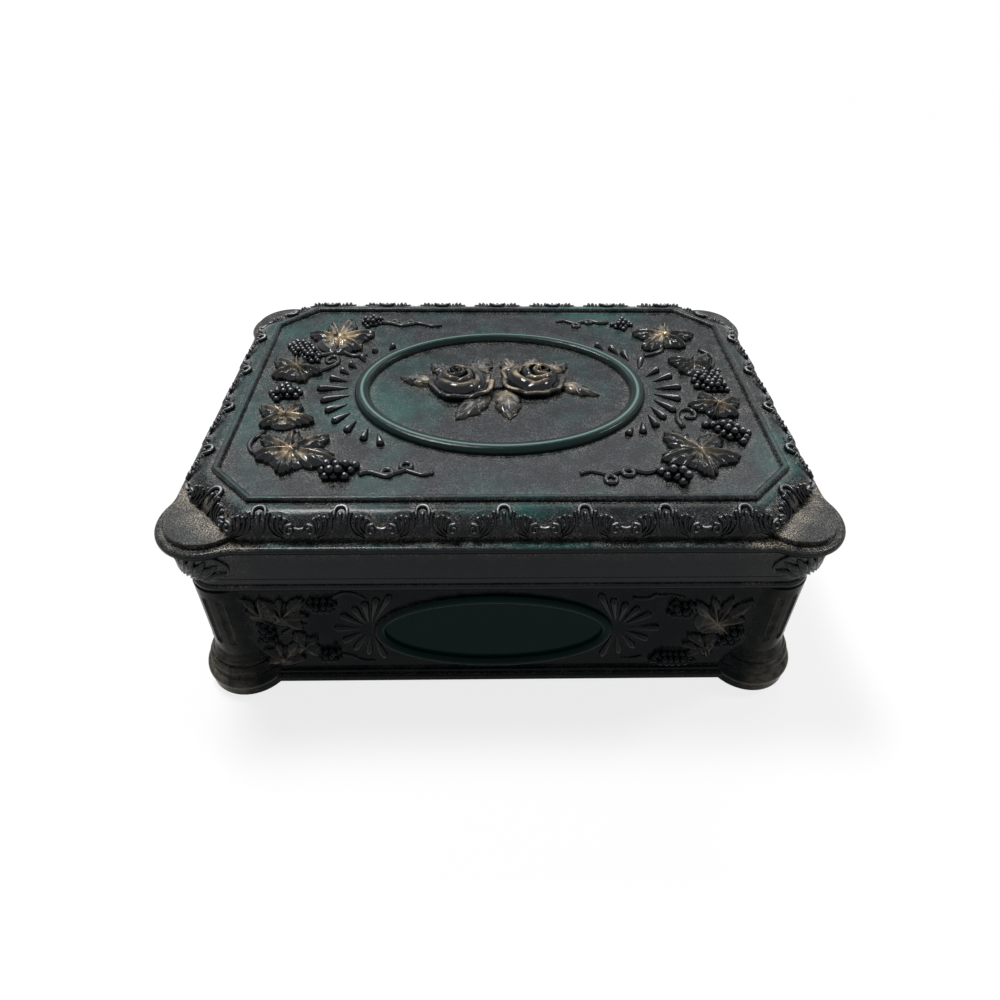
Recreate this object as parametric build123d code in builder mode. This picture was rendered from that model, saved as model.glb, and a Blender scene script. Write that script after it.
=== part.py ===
from build123d import *
import os
from math import cos, radians, sin

# Trinket box: a footed base and a hinged lid, moulded with fluted corner columns, oval
# cartouches, an eared rim, a cushion border round the lid panel and a spray of two roses.
# Millimetres. +Z is up, the front faces -Y, and the origin is on the table under the middle
# of the box. The lid turns about the pins of two butt hinges at the back.
os.makedirs("parts", exist_ok=True)

# Setting-out rectangle: its corners are the centres of the four corner columns
corner_x = 100.0
corner_y = 66.5

# Base moulding, with its faces measured outwards from the setting-out rectangle
base_height = 55.0
wall_out = 9.0
wall_thickness = 3.0
floor_rise = 5.0
floor_thickness = 3.0
plinth_lift = 2.6
plinth_height = 3.2
plinth_out = 11.4
plinth_step_height = 1.8
plinth_step_out = 10.2
plinth_round = 1.0

# Fluted column
column_radius = 11.3
flute_count = 4
flute_radius = 2.2
flute_depth = 1.0
flute_bottom = 25.0
flute_top_margin = 3.6

# Turned foot under each column, from the table up
felt_proud = 0.5
drum_radius = 16.4
drum_height = 4.1
lower_ring_radius = 16.9
lower_ring_height = 5.0
neck_radius = 14.6
neck_height = 0.9
middle_ring_radius = 14.9
middle_ring_height = 3.6
upper_neck_radius = 12.9
upper_neck_height = 0.8
upper_ring_radius = 13.2
upper_ring_height = 2.3
column_foot_height = 2.4
neck_taper = 0.6

# Oval cartouches on the walls, each a flat field inside a rounded ring
wall_oval_height = 41.4
front_oval_width = 89.2
front_oval_shift = -3.0
side_oval_width = 54.0
wall_ring_width = 4.2
wall_ring_proud = 2.0
wall_ring_round = 1.6
oval_gap_above_plinth = 2.4

# Lid moulding, from its bottom edge up
parting_gap = 0.15
edge_bead_height = 3.0
edge_bead_out = 11.0
edge_bead_round = 1.3
under_turn_height = 5.2
under_turn_out = 10.0
under_turn_round = 1.6
band_height = 14.0
band_out = 12.8
band_round = 1.0
cove_radius = 1.5
rim_thickness = 3.0
rim_out = 14.8
rim_round = 1.35
ear_radius = 17.4
ear_sweep_radius = 12.0
ear_step_height = 2.1
ear_step_inset = 3.0
ear_step_round = 0.5
lid_wall = 3.0
hollow_round = 3.0

# Sunken panel with cut corners, its frame bead and the cushion border round it
panel_cut = 15.5
border_out = 11.0
border_height = 8.5
border_round = 8.1
frame_bead_width = 2.6
frame_bead_height = 1.8
frame_bead_round = 1.1

# Oval ring on the panel
lid_oval_width = 117.0
lid_oval_depth = 86.6
lid_ring_width = 6.0
lid_ring_height = 2.5
lid_ring_round = 2.1

# Rose spray on the panel, inside the oval ring
rose_height = 6.4
rose_petals = 5
outer_petal_radius = 4.0
outer_petal_reach = 4.8
outer_petal_height = 2.2
inner_petal_radius = 3.2
inner_petal_reach = 2.8
inner_petal_height = 3.2
bud_radius = 2.2
rose_taper = 14
spray_leaf_width = 7.0
spray_leaf_height = 1.8
spray_leaf_taper = 30
roses = (
    ((-15.5, 4.0), (-2.0, 2.0)),
    ((15.0, 6.0), (4.0, 0.8)),
)
spray_leaves = (
    ((-23.0, 1.5), (-40.0, 7.0)),
    ((-6.0, -4.5), (-17.0, -21.0)),
    ((2.5, -2.0), (4.0, -21.0)),
    ((21.0, 3.5), (39.0, -5.0)),
    ((-10.0, 8.0), (-6.0, 21.0)),
    ((8.0, 9.0), (4.0, 21.0)),
)

# Vine leaves on the panel: the hub of each leaf and the tips of its lobes
lobe_share = 0.86
lobe_slimness = 0.5
lobe_height = 2.4
lobe_taper = 35
carving_sink = 0.4
vine_leaves = (
    ((-70, 36), ((-85, 43), (-80, 31), (-59, 29), (-55, 44), (-68, 56), (-76, 53))),
    ((-84, 12), ((-94, 7), (-95, 21), (-79, 3), (-73, 10), (-86, 23))),
    ((-82, -22), ((-91, -27), (-93, -14), (-81, -28), (-70, -24), (-77, -13))),
    ((-75, -43), ((-89, -44), (-77, -55), (-58, -47), (-63, -32), (-77, -29), (-89, -33))),
    ((74, 39), ((60, 44), (63, 29), (83, 31), (89, 42), (77, 52))),
    ((82, 15), ((72, 21), (90, 14), (91, 24), (75, 11))),
    ((85, -15), ((73, -13), (79, -6), (81, -22), (92, -21), (95, -10))),
    ((71, -44), ((60, -31), (56, -47), (73, -57), (86, -46), (82, -33))),
)

# Palmettes on the cushion border: a crown between two scrolls, repeated round the lid
palmette_pitch = 26.6
palmette_proud = 0.6
crown_width = 4.4
crown_height = 9.2
scroll_start = (2.5, 3.2)
scroll_crest = (8.2, 3.6)
scroll_shoulder = (11.6, -1.0)
scroll_foot = (10.6, -3.6)
scroll_end = (8.2, -3.0)
scroll_hollow = (5.6, 0.0)

# Butt hinges on the back
hinge_x = 62.0
hinge_width = 25.0
leaf_thickness = 1.1
body_leaf_height = 12.0
lid_leaf_height = 12.0
pin_radius = 1.0
pin_clearance = 0.05
pin_head_radius = 1.6
pin_head_height = 0.7
knuckle_gap = 0.3
lid_knuckle_width = 9.0
hinge_seat_proud = 1.0
seat_margin = 1.2
knuckle_relief = 2.8
hinge_leaf_round = 1.5

# Countersunk screws through the hinge leaves
screw_radius = 0.9
screw_head_radius = 1.7
screw_head_height = 0.8
screw_length = 3.9
screw_clearance = 0.05
screw_pitch = 14.0
screw_from_leaf_end = 4.0

# Linings and pads
lining_thickness = 1.6
lining_fit = 0.1
lining_below_rim = 1.2
lining_round = 0.5
floor_pad_thickness = 2.4
floor_pad_round = 1.0
lid_pad_thickness = 5.0
lid_pad_fit = 0.3
lid_pad_round = 3.0
felt_radius = 12.5
felt_thickness = 1.5
felt_fit = 0.2

# How closely a face or corner is looked for at its computed place
search_margin = 0.01

# Faces and levels that follow from the sizes above
front_face = corner_y + wall_out
side_face = corner_x + wall_out
cavity_out = wall_out - wall_thickness
floor_top = floor_rise + floor_thickness
plinth_top = plinth_lift + plinth_height + plinth_step_height
oval_z = plinth_top + oval_gap_above_plinth + wall_oval_height / 2
lid_z = base_height + parting_gap
under_turn_z = lid_z + edge_bead_height
band_z = under_turn_z + under_turn_height
rim_z = band_z + band_height
rim_top = rim_z + rim_thickness
panel_z = rim_top + border_height
ceiling_z = panel_z - lid_wall
hinge_z = base_height + parting_gap / 2
seat_face = front_face + hinge_seat_proud
bore_radius = pin_radius + pin_clearance
knuckle_radius = bore_radius + leaf_thickness
hinge_y = seat_face + knuckle_radius
leaf_face = seat_face + leaf_thickness
body_screw_z = hinge_z - body_leaf_height + screw_from_leaf_end
lid_screw_z = hinge_z + lid_leaf_height - screw_from_leaf_end
corners = [(sx * corner_x, sy * corner_y) for sx in (-1, 1) for sy in (-1, 1)]
hinges = (("left", -hinge_x), ("right", hinge_x))


def rounded_outline(out):
    """Rectangle that runs `out` outside the column centres, its corners turned about them."""
    RectangleRounded(2 * (corner_x + out), 2 * (corner_y + out), out)


def wall_outline(out):
    """Four flat walls `out` outside the column centres, each ending at the columns."""
    Rectangle(2 * corner_x, 2 * (corner_y + out))
    Rectangle(2 * (corner_x + out), 2 * corner_y)


def panel_outline(out=0.0):
    """The lid panel with its four cut corners, grown by `out` with rounded turns."""
    with BuildSketch() as panel:
        Rectangle(2 * corner_x, 2 * corner_y)
        chamfer(panel.vertices(), panel_cut)
        if out:
            offset(amount=out, kind=Kind.ARC)
    return panel.sketch


def level_face(part, level):
    """The flat face of a part that lies at one height."""
    return part.faces().filter_by(Plane.XY).filter_by_position(
        Axis.Z, level - search_margin, level + search_margin)[0]


def oval_ring(width, height, band, proud, rounding):
    """Rounded oval ring, flat on its back, with its outer outline width by height."""
    with BuildPart() as ring:
        with BuildSketch():
            Ellipse(width / 2, height / 2)
            Ellipse(width / 2 - band, height / 2 - band, mode=Mode.SUBTRACT)
        extrude(amount=proud)
        fillet(ring.faces().sort_by(Axis.Z)[-1].edges(), rounding)
    return ring.part


# Corner column on its turned foot, a solid of revolution with half-round rings and necks
with BuildPart() as corner_column:
    drum_top = felt_proud + drum_height
    lower_ring_top = drum_top + lower_ring_height
    neck_top = lower_ring_top + neck_height
    middle_ring_top = neck_top + middle_ring_height
    upper_neck_top = middle_ring_top + upper_neck_height
    upper_ring_top = upper_neck_top + upper_ring_height
    shaft_bottom = upper_ring_top + column_foot_height
    with BuildSketch(Plane.XZ):
        with BuildLine():
            Polyline((0, felt_proud), (drum_radius - neck_taper, felt_proud),
                     (drum_radius, felt_proud + neck_taper), (drum_radius, drum_top))
            ThreePointArc((drum_radius, drum_top),
                          (lower_ring_radius, drum_top + lower_ring_height / 2),
                          (neck_radius, lower_ring_top))
            Line((neck_radius, lower_ring_top), (neck_radius - neck_taper, neck_top))
            ThreePointArc((neck_radius - neck_taper, neck_top),
                          (middle_ring_radius, neck_top + middle_ring_height / 2),
                          (upper_neck_radius, middle_ring_top))
            Line((upper_neck_radius, middle_ring_top), (upper_neck_radius - neck_taper, upper_neck_top))
            ThreePointArc((upper_neck_radius - neck_taper, upper_neck_top),
                          (upper_ring_radius, upper_neck_top + upper_ring_height / 2),
                          (upper_neck_radius - neck_taper, upper_ring_top))
            Polyline((upper_neck_radius - neck_taper, upper_ring_top), (column_radius, shaft_bottom),
                     (column_radius, base_height), (0, base_height), (0, felt_proud))
        make_face()
    revolve(axis=Axis.Z)

# Flute: a round-ended groove, drawn as the long bead that cuts it
with BuildPart() as flute:
    flute_top = base_height - flute_top_margin
    with BuildSketch(Plane.XZ):
        with BuildLine():
            Line((0, flute_bottom), (0, flute_top))
            JernArc((0, flute_top), (1, 0), flute_radius, -90)
            Line((flute_radius, flute_top - flute_radius), (flute_radius, flute_bottom + flute_radius))
            JernArc((flute_radius, flute_bottom + flute_radius), (0, -1), flute_radius, -90)
        make_face()
    revolve(axis=Axis.Z)

# Base: plinth, walls, floor, columns on feet, oval cartouches and hinge seats, in one moulding
front_ring = oval_ring(front_oval_width, wall_oval_height, wall_ring_width, wall_ring_proud, wall_ring_round)
side_ring = oval_ring(side_oval_width, wall_oval_height, wall_ring_width, wall_ring_proud, wall_ring_round)
wall_rings = (
    (Plane((front_oval_shift, -front_face, oval_z), x_dir=(1, 0, 0), z_dir=(0, -1, 0)), front_ring),
    (Plane((0, front_face, oval_z), x_dir=(-1, 0, 0), z_dir=(0, 1, 0)), front_ring),
    (Plane((-side_face, 0, oval_z), x_dir=(0, -1, 0), z_dir=(-1, 0, 0)), side_ring),
    (Plane((side_face, 0, oval_z), x_dir=(0, 1, 0), z_dir=(1, 0, 0)), side_ring),
)
seat_width = hinge_width + 2 * seat_margin
seat_bottom = hinge_z - body_leaf_height - seat_margin
seat_top = hinge_z - knuckle_relief
with BuildPart() as base_shell:
    with BuildSketch(Plane.XY.offset(plinth_lift)):
        wall_outline(plinth_out)
    extrude(amount=plinth_height)
    fillet(base_shell.faces().sort_by(Axis.Z)[-1].edges(), plinth_round)
    with BuildSketch(Plane.XY.offset(plinth_lift)):
        wall_outline(plinth_step_out)
    extrude(amount=plinth_height + plinth_step_height)
    with BuildSketch(Plane.XY.offset(plinth_lift)):
        wall_outline(wall_out)
    extrude(amount=base_height - plinth_lift)
    with BuildSketch(Plane.XY.offset(plinth_lift)):
        rounded_outline(cavity_out)
    extrude(amount=floor_rise - plinth_lift, mode=Mode.SUBTRACT)
    with Locations(*corners):
        add(corner_column.part)
    with BuildSketch(Plane.XY.offset(felt_proud)):
        with Locations(*corners):
            Circle(felt_radius + felt_fit)
    extrude(amount=felt_thickness - felt_proud, mode=Mode.SUBTRACT)
    for cx, cy in corners:
        for step in range(flute_count):
            turn = step * 90 / (flute_count - 1)
            across = (column_radius + flute_radius - flute_depth) * cos(radians(turn))
            along = (column_radius + flute_radius - flute_depth) * sin(radians(turn))
            with Locations((cx + across * cx / corner_x, cy + along * cy / corner_y)):
                add(flute.part, mode=Mode.SUBTRACT)
    for wall_plane, ring in wall_rings:
        with Locations(wall_plane):
            add(ring)
    for side, x in hinges:
        with BuildSketch(Plane((x, front_face, 0), x_dir=(-1, 0, 0), z_dir=(0, 1, 0))):
            with Locations((0, (seat_bottom + seat_top) / 2)):
                Rectangle(seat_width, seat_top - seat_bottom)
        extrude(amount=hinge_seat_proud)
    with BuildSketch(Plane.XY.offset(floor_top)):
        rounded_outline(cavity_out)
    extrude(amount=base_height - floor_top, mode=Mode.SUBTRACT)
    for side, x in hinges:
        for across in (-screw_pitch / 2, screw_pitch / 2):
            with Locations(Plane((x + across, seat_face, body_screw_z), z_dir=(0, 1, 0))):
                Hole(screw_radius + screw_clearance, depth=screw_length - leaf_thickness)
base_shell.part.label = "base_shell"
export_step(base_shell.part, "parts/base_shell.step")


def rose(opening):
    """Five broad petals, five upright ones turned half a step, and a bud where it opens."""
    with BuildPart() as flower:
        for count, radius, reach, height, turn, drift in (
            (rose_petals, outer_petal_radius, outer_petal_reach, outer_petal_height, 0, 0),
            (rose_petals, inner_petal_radius, inner_petal_reach, inner_petal_height, 180 / rose_petals, 0.5),
            (1, bud_radius, 0, rose_height, 0, 1),
        ):
            with BuildSketch():
                with Locations((drift * opening[0], drift * opening[1])):
                    with PolarLocations(reach, count, start_angle=turn):
                        Circle(radius)
            extrude(amount=height, taper=rose_taper)
    return flower.part


def leaf_blade(base, tip, width, height, taper):
    """A pointed leaf or lobe rooted a little below the panel, its edges sloping in."""
    run = Vector(tip[0] - base[0], tip[1] - base[1])
    with BuildPart() as blade:
        with BuildSketch(Plane((base[0], base[1], panel_z - carving_sink), x_dir=run.normalized())):
            with BuildLine():
                ThreePointArc((0, 0), (run.length / 2, -width / 2), (run.length, 0))
                ThreePointArc((run.length, 0), (run.length / 2, width / 2), (0, 0))
            make_face()
        extrude(amount=height + carving_sink, taper=taper)
    return blade.part


def vine_leaf(hub, tips):
    """A leaf on the panel, one lobe from its hub towards each tip."""
    with BuildPart() as leaf:
        for tip in tips:
            end = [hub_at + lobe_share * (tip_at - hub_at) for hub_at, tip_at in zip(hub, tip)]
            length = Vector(end[0] - hub[0], end[1] - hub[1]).length
            add(leaf_blade(hub, end, lobe_slimness * length, lobe_height, lobe_taper))
    return leaf.part


# Cushion border: a quarter-round rising from the rim to the level of the panel
with BuildPart() as cushion_border:
    with BuildSketch(Plane.XY.offset(rim_top)):
        add(panel_outline(border_out))
    extrude(amount=border_height)
    fillet(cushion_border.faces().sort_by(Axis.Z)[-1].edges(), border_round)

# Frame bead that follows the cut corners of the panel
with BuildPart() as panel_frame:
    with BuildSketch(Plane.XY.offset(panel_z)):
        add(panel_outline(frame_bead_width / 2))
        add(panel_outline(-frame_bead_width / 2), mode=Mode.SUBTRACT)
    extrude(amount=frame_bead_height)
    fillet(panel_frame.faces().sort_by(Axis.Z)[-1].edges(), frame_bead_round)

# Palmettes: a thicker cushion border, kept only where the outlines of the units cross it
edge_centre_out = border_out - border_round
edge_centre_z = rim_top + border_height - border_round
slant_out = panel_cut / 2 - edge_centre_out * sin(radians(45))
unit_seats = []
for side in (-1, 1):
    for step in range(-3, 4):
        unit_seats.append(((step * palmette_pitch, side * (corner_y + edge_centre_out)), (0, side)))
    for step in (-1.5, -0.5, 0.5, 1.5):
        unit_seats.append(((side * (corner_x + edge_centre_out), step * palmette_pitch), (side, 0)))
    for end in (-1, 1):
        unit_seats.append(((side * (corner_x - slant_out), end * (corner_y - slant_out)), (side, end)))
with BuildPart() as unit:
    with BuildSketch():
        Ellipse(crown_width / 2, crown_height / 2)
        for side in (-1, 1):
            with BuildLine():
                start, crest, shoulder, foot, scroll_tip, hollow = [
                    (side * across, up) for across, up in
                    (scroll_start, scroll_crest, scroll_shoulder, scroll_foot, scroll_end, scroll_hollow)]
                ThreePointArc(start, crest, shoulder)
                ThreePointArc(shoulder, foot, scroll_tip)
                ThreePointArc(scroll_tip, hollow, start)
            make_face()
    extrude(amount=border_round + 2 * palmette_proud)
with BuildPart() as palmettes:
    with BuildSketch(Plane.XY.offset(edge_centre_z - palmette_proud)):
        add(panel_outline(border_out + palmette_proud))
    extrude(amount=border_round + 2 * palmette_proud)
    fillet(palmettes.faces().sort_by(Axis.Z)[-1].edges(), border_round + palmette_proud)
    with BuildPart(mode=Mode.INTERSECT):
        for (seat_x, seat_y), (face_x, face_y) in unit_seats:
            outward = Vector(face_x, face_y, 0).normalized()
            with Locations(Plane((seat_x, seat_y, edge_centre_z), x_dir=(-face_y, face_x, 0),
                                 z_dir=(outward.X, outward.Y, 1))):
                add(unit.part)

# Hollow of the lid: straight sides up to the rim, then in under the cushion border
with BuildPart() as lid_hollow:
    with BuildSketch(Plane.XY.offset(rim_z)):
        add(panel_outline(cavity_out))
    extrude(amount=ceiling_z - rim_z)
    fillet(lid_hollow.faces().sort_by(Axis.Z)[-1].edges(), hollow_round)
    with BuildSketch(Plane.XY.offset(lid_z)):
        rounded_outline(cavity_out)
    extrude(amount=rim_z - lid_z)

# Lid: edge bead, under-turn, band, eared rim, cushion border, framed panel, ring and roses
lid_ring = oval_ring(lid_oval_width, lid_oval_depth, lid_ring_width, lid_ring_height, lid_ring_round)
recess_top = hinge_z + lid_leaf_height + seat_margin
recess_depth = rim_out
with BuildPart() as lid_shell:
    with BuildSketch(Plane.XY.offset(lid_z)):
        rounded_outline(edge_bead_out)
    extrude(amount=edge_bead_height)
    fillet(lid_shell.faces().filter_by(Plane.XY).edges(), edge_bead_round)
    with BuildSketch(Plane.XY.offset(lid_z)):
        rounded_outline(under_turn_out)
    extrude(amount=band_z - lid_z)
    with BuildSketch(Plane.XY.offset(band_z)):
        rounded_outline(band_out)
    extrude(amount=band_height)
    fillet(level_face(lid_shell, band_z).outer_wire().edges(), band_round)
    fillet(level_face(lid_shell, band_z).inner_wires()[0].edges(), under_turn_round)
    with BuildSketch(Plane.XY.offset(rim_z)) as rim_sketch:
        wall_outline(rim_out)
        with Locations(*corners):
            Circle(ear_radius)
        ear_reach = (ear_radius**2 - rim_out**2) ** 0.5
        ear_joints = rim_sketch.vertices().filter_by(
            lambda v: min(abs(abs(v.X) - corner_x + ear_reach),
                          abs(abs(v.Y) - corner_y + ear_reach)) < search_margin)
        fillet(ear_joints, ear_sweep_radius)
    extrude(amount=rim_thickness)
    for level in (rim_z, rim_top):
        fillet(level_face(lid_shell, level).outer_wire().edges(), rim_round)
    fillet(level_face(lid_shell, rim_z).inner_wires()[0].edges(), cove_radius)
    with BuildSketch(Plane.XY.offset(rim_top)):
        with Locations(*corners):
            Circle(ear_radius - ear_step_inset)
    extrude(amount=ear_step_height)
    fillet(lid_shell.faces().filter_by(Plane.XY).group_by(Axis.Z)[-1].edges(), ear_step_round)
    add(cushion_border.part)
    add(palmettes.part)
    add(panel_frame.part)
    with Locations((0, 0, panel_z)):
        add(lid_ring)
    add(lid_hollow.part, mode=Mode.SUBTRACT)
    for side, x in hinges:
        with BuildSketch(Plane((x, seat_face, 0), x_dir=(-1, 0, 0), z_dir=(0, 1, 0))):
            with Locations((0, (lid_z + recess_top) / 2)):
                Rectangle(hinge_width + 2 * seat_margin, recess_top - lid_z)
        extrude(amount=recess_depth, mode=Mode.SUBTRACT)
        with BuildSketch(Plane((x, front_face, 0), x_dir=(-1, 0, 0), z_dir=(0, 1, 0))):
            with Locations((0, (lid_z + hinge_z + knuckle_relief) / 2)):
                Rectangle(hinge_width + 2 * seat_margin, hinge_z + knuckle_relief - lid_z)
        extrude(amount=recess_depth, mode=Mode.SUBTRACT)
        for across in (-screw_pitch / 2, screw_pitch / 2):
            with Locations(Plane((x + across, seat_face, lid_screw_z), z_dir=(0, 1, 0))):
                Hole(screw_radius + screw_clearance, depth=screw_length - leaf_thickness)
    for (rose_x, rose_y), opening in roses:
        with Locations((rose_x, rose_y, panel_z)):
            add(rose(opening))
    for base, tip in spray_leaves:
        add(leaf_blade(base, tip, spray_leaf_width, spray_leaf_height, spray_leaf_taper))
    for hub, tips in vine_leaves:
        add(vine_leaf(hub, tips))
lid_shell.part.label = "lid_shell"
export_step(lid_shell.part, "parts/lid_shell.step")

# Countersunk screw, its head flush with the plane it is placed on
with BuildPart() as screw:
    with BuildSketch(Plane.XZ):
        with BuildLine():
            Polyline((0, 0), (screw_head_radius, 0), (screw_radius, -screw_head_height),
                     (screw_radius, -screw_length + screw_radius), (0, -screw_length), (0, 0))
        make_face()
    revolve(axis=Axis.Z)

# Hinges: a leaf screwed to the base, a leaf screwed to the lid, and a headed pin
leaf_notch = knuckle_radius + knuckle_gap
lid_knuckle_end = lid_knuckle_width / 2
body_knuckle_start = lid_knuckle_end + knuckle_gap
for side, x in hinges:
    leaf_plane = Plane((x, seat_face, hinge_z), x_dir=(-1, 0, 0), z_dir=(0, 1, 0))
    with BuildPart() as body_leaf:
        with BuildSketch(leaf_plane):
            with Locations((0, -body_leaf_height / 2)):
                Rectangle(hinge_width, body_leaf_height)
            with Locations((0, -leaf_notch / 2)):
                Rectangle(2 * body_knuckle_start, leaf_notch, mode=Mode.SUBTRACT)
        extrude(amount=leaf_thickness)
        fillet(body_leaf.edges().filter_by(Axis.Y).group_by(Axis.Z)[0], hinge_leaf_round)
        for start in (x - hinge_width / 2, x + body_knuckle_start):
            with BuildSketch(Plane.YZ.offset(start)):
                with Locations((hinge_y, hinge_z)):
                    Circle(knuckle_radius)
            extrude(amount=hinge_width / 2 - body_knuckle_start)
        with BuildSketch(Plane.YZ.offset(x - hinge_width / 2)):
            with Locations((hinge_y, hinge_z)):
                Circle(bore_radius)
        extrude(amount=hinge_width, mode=Mode.SUBTRACT)
        for across in (-screw_pitch / 2, screw_pitch / 2):
            with Locations(Plane((x + across, leaf_face, body_screw_z), z_dir=(0, 1, 0))):
                CounterSinkHole(screw_radius + screw_clearance, screw_head_radius + screw_clearance,
                                depth=leaf_thickness, counter_sink_angle=90)
    body_leaf.part.label = f"{side}_hinge_body_leaf"
    export_step(body_leaf.part, f"parts/{side}_hinge_body_leaf.step")

    with BuildPart() as lid_leaf:
        with BuildSketch(leaf_plane):
            with Locations((0, lid_leaf_height / 2)):
                Rectangle(hinge_width, lid_leaf_height)
            with Locations((0, leaf_notch / 2)):
                Rectangle(hinge_width, leaf_notch, mode=Mode.SUBTRACT)
                Rectangle(lid_knuckle_width, leaf_notch)
        extrude(amount=leaf_thickness)
        fillet(lid_leaf.edges().filter_by(Axis.Y).group_by(Axis.Z)[-1], hinge_leaf_round)
        with BuildSketch(Plane.YZ.offset(x - lid_knuckle_end)):
            with Locations((hinge_y, hinge_z)):
                Circle(knuckle_radius)
        extrude(amount=lid_knuckle_width)
        with BuildSketch(Plane.YZ.offset(x - lid_knuckle_end)):
            with Locations((hinge_y, hinge_z)):
                Circle(bore_radius)
        extrude(amount=lid_knuckle_width, mode=Mode.SUBTRACT)
        for across in (-screw_pitch / 2, screw_pitch / 2):
            with Locations(Plane((x + across, leaf_face, lid_screw_z), z_dir=(0, 1, 0))):
                CounterSinkHole(screw_radius + screw_clearance, screw_head_radius + screw_clearance,
                                depth=leaf_thickness, counter_sink_angle=90)
    lid_leaf.part.label = f"{side}_hinge_lid_leaf"
    export_step(lid_leaf.part, f"parts/{side}_hinge_lid_leaf.step")

    with BuildPart() as pin:
        with BuildSketch(Plane.YZ.offset(x - hinge_width / 2 - pin_head_height)):
            with Locations((hinge_y, hinge_z)):
                Circle(pin_head_radius)
        extrude(amount=pin_head_height)
        with BuildSketch(Plane.YZ.offset(x - hinge_width / 2)):
            with Locations((hinge_y, hinge_z)):
                Circle(pin_radius)
        extrude(amount=hinge_width)
        with BuildSketch(Plane.YZ.offset(x + hinge_width / 2)):
            with Locations((hinge_y, hinge_z)):
                Circle(pin_head_radius)
        extrude(amount=pin_head_height)
    pin.part.label = f"{side}_hinge_pin"
    export_step(pin.part, f"parts/{side}_hinge_pin.step")

    for owner, screw_z in (("body", body_screw_z), ("lid", lid_screw_z)):
        with BuildPart() as screws:
            for across in (-screw_pitch / 2, screw_pitch / 2):
                with Locations(Plane((x + across, leaf_face, screw_z), z_dir=(0, 1, 0))):
                    add(screw.part)
        screws.part.label = f"{side}_hinge_{owner}_screws"
        export_step(screws.part, f"parts/{side}_hinge_{owner}_screws.step")

# Wall linings: four covered cards that follow the walls and meet in the corners
lining_outer = cavity_out - lining_fit
lining_inner = lining_outer - lining_thickness
reach = cavity_out + 2
wall_spans = {
    "front": ((-corner_x, -corner_y), (corner_x, -corner_y),
              (corner_x + reach, -corner_y - reach), (-corner_x - reach, -corner_y - reach)),
    "rear": ((-corner_x, corner_y), (corner_x, corner_y),
             (corner_x + reach, corner_y + reach), (-corner_x - reach, corner_y + reach)),
    "left": ((-corner_x, -corner_y), (-corner_x, corner_y),
             (-corner_x - reach, corner_y + reach), (-corner_x - reach, -corner_y - reach)),
    "right": ((corner_x, -corner_y), (corner_x, corner_y),
              (corner_x + reach, corner_y + reach), (corner_x + reach, -corner_y - reach)),
}
with BuildPart() as lining_ring:
    with BuildSketch(Plane.XY.offset(floor_top)):
        rounded_outline(lining_outer)
        RectangleRounded(2 * (corner_x + lining_inner), 2 * (corner_y + lining_inner), lining_inner,
                         mode=Mode.SUBTRACT)
    extrude(amount=base_height - lining_below_rim - floor_top)
    fillet(lining_ring.faces().sort_by(Axis.Z)[-1].edges(), lining_round)
for wall, span in wall_spans.items():
    with BuildPart() as lining:
        with BuildSketch():
            with BuildLine():
                Polyline(*span, close=True)
            make_face()
        extrude(amount=base_height)
        add(lining_ring.part, mode=Mode.INTERSECT)
    lining.part.label = f"{wall}_wall_lining"
    export_step(lining.part, f"parts/{wall}_wall_lining.step")

# Floor pad: a covered card inside the wall linings
with BuildPart() as floor_pad:
    with BuildSketch(Plane.XY.offset(floor_top)):
        rounded_outline(lining_inner - lining_fit)
    extrude(amount=floor_pad_thickness)
    fillet(floor_pad.faces().sort_by(Axis.Z)[-1].edges(), floor_pad_round)
floor_pad.part.label = "floor_pad"
export_step(floor_pad.part, "parts/floor_pad.step")

# Lid pad: a padded board glued under the panel
with BuildPart() as lid_pad:
    with BuildSketch(Plane.XY.offset(ceiling_z - lid_pad_thickness)):
        add(panel_outline(cavity_out - hollow_round - lid_pad_fit))
    extrude(amount=lid_pad_thickness)
    fillet(lid_pad.faces().sort_by(Axis.Z)[0].edges(), lid_pad_round)
lid_pad.part.label = "lid_pad"
export_step(lid_pad.part, "parts/lid_pad.step")

# Felt pads let into the feet
for cx, cy in corners:
    with BuildPart() as foot_pad:
        with BuildSketch():
            with Locations((cx, cy)):
                Circle(felt_radius)
        extrude(amount=felt_thickness)
    place = ("rear_" if cy > 0 else "front_") + ("right" if cx > 0 else "left")
    foot_pad.part.label = f"foot_pad_{place}"
    export_step(foot_pad.part, f"parts/foot_pad_{place}.step")
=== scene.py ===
import random
from math import atan2, cos, exp, hypot, pi, radians, sin

import bpy
from mathutils import Matrix, Vector, noise


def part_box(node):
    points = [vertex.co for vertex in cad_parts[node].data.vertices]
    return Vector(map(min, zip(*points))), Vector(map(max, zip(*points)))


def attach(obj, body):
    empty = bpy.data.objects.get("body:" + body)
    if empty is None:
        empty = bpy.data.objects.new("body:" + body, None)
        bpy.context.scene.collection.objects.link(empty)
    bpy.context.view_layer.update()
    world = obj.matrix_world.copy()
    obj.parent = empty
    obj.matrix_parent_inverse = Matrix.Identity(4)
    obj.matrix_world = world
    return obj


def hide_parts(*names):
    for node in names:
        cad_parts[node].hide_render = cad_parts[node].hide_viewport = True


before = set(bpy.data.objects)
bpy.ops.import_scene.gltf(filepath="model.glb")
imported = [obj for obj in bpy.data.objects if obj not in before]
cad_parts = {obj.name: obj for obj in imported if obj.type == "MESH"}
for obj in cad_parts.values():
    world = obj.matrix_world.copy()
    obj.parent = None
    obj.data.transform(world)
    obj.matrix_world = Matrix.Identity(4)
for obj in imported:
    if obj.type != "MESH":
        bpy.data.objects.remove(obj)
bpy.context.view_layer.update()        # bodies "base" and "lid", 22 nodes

mm = 0.001
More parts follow.
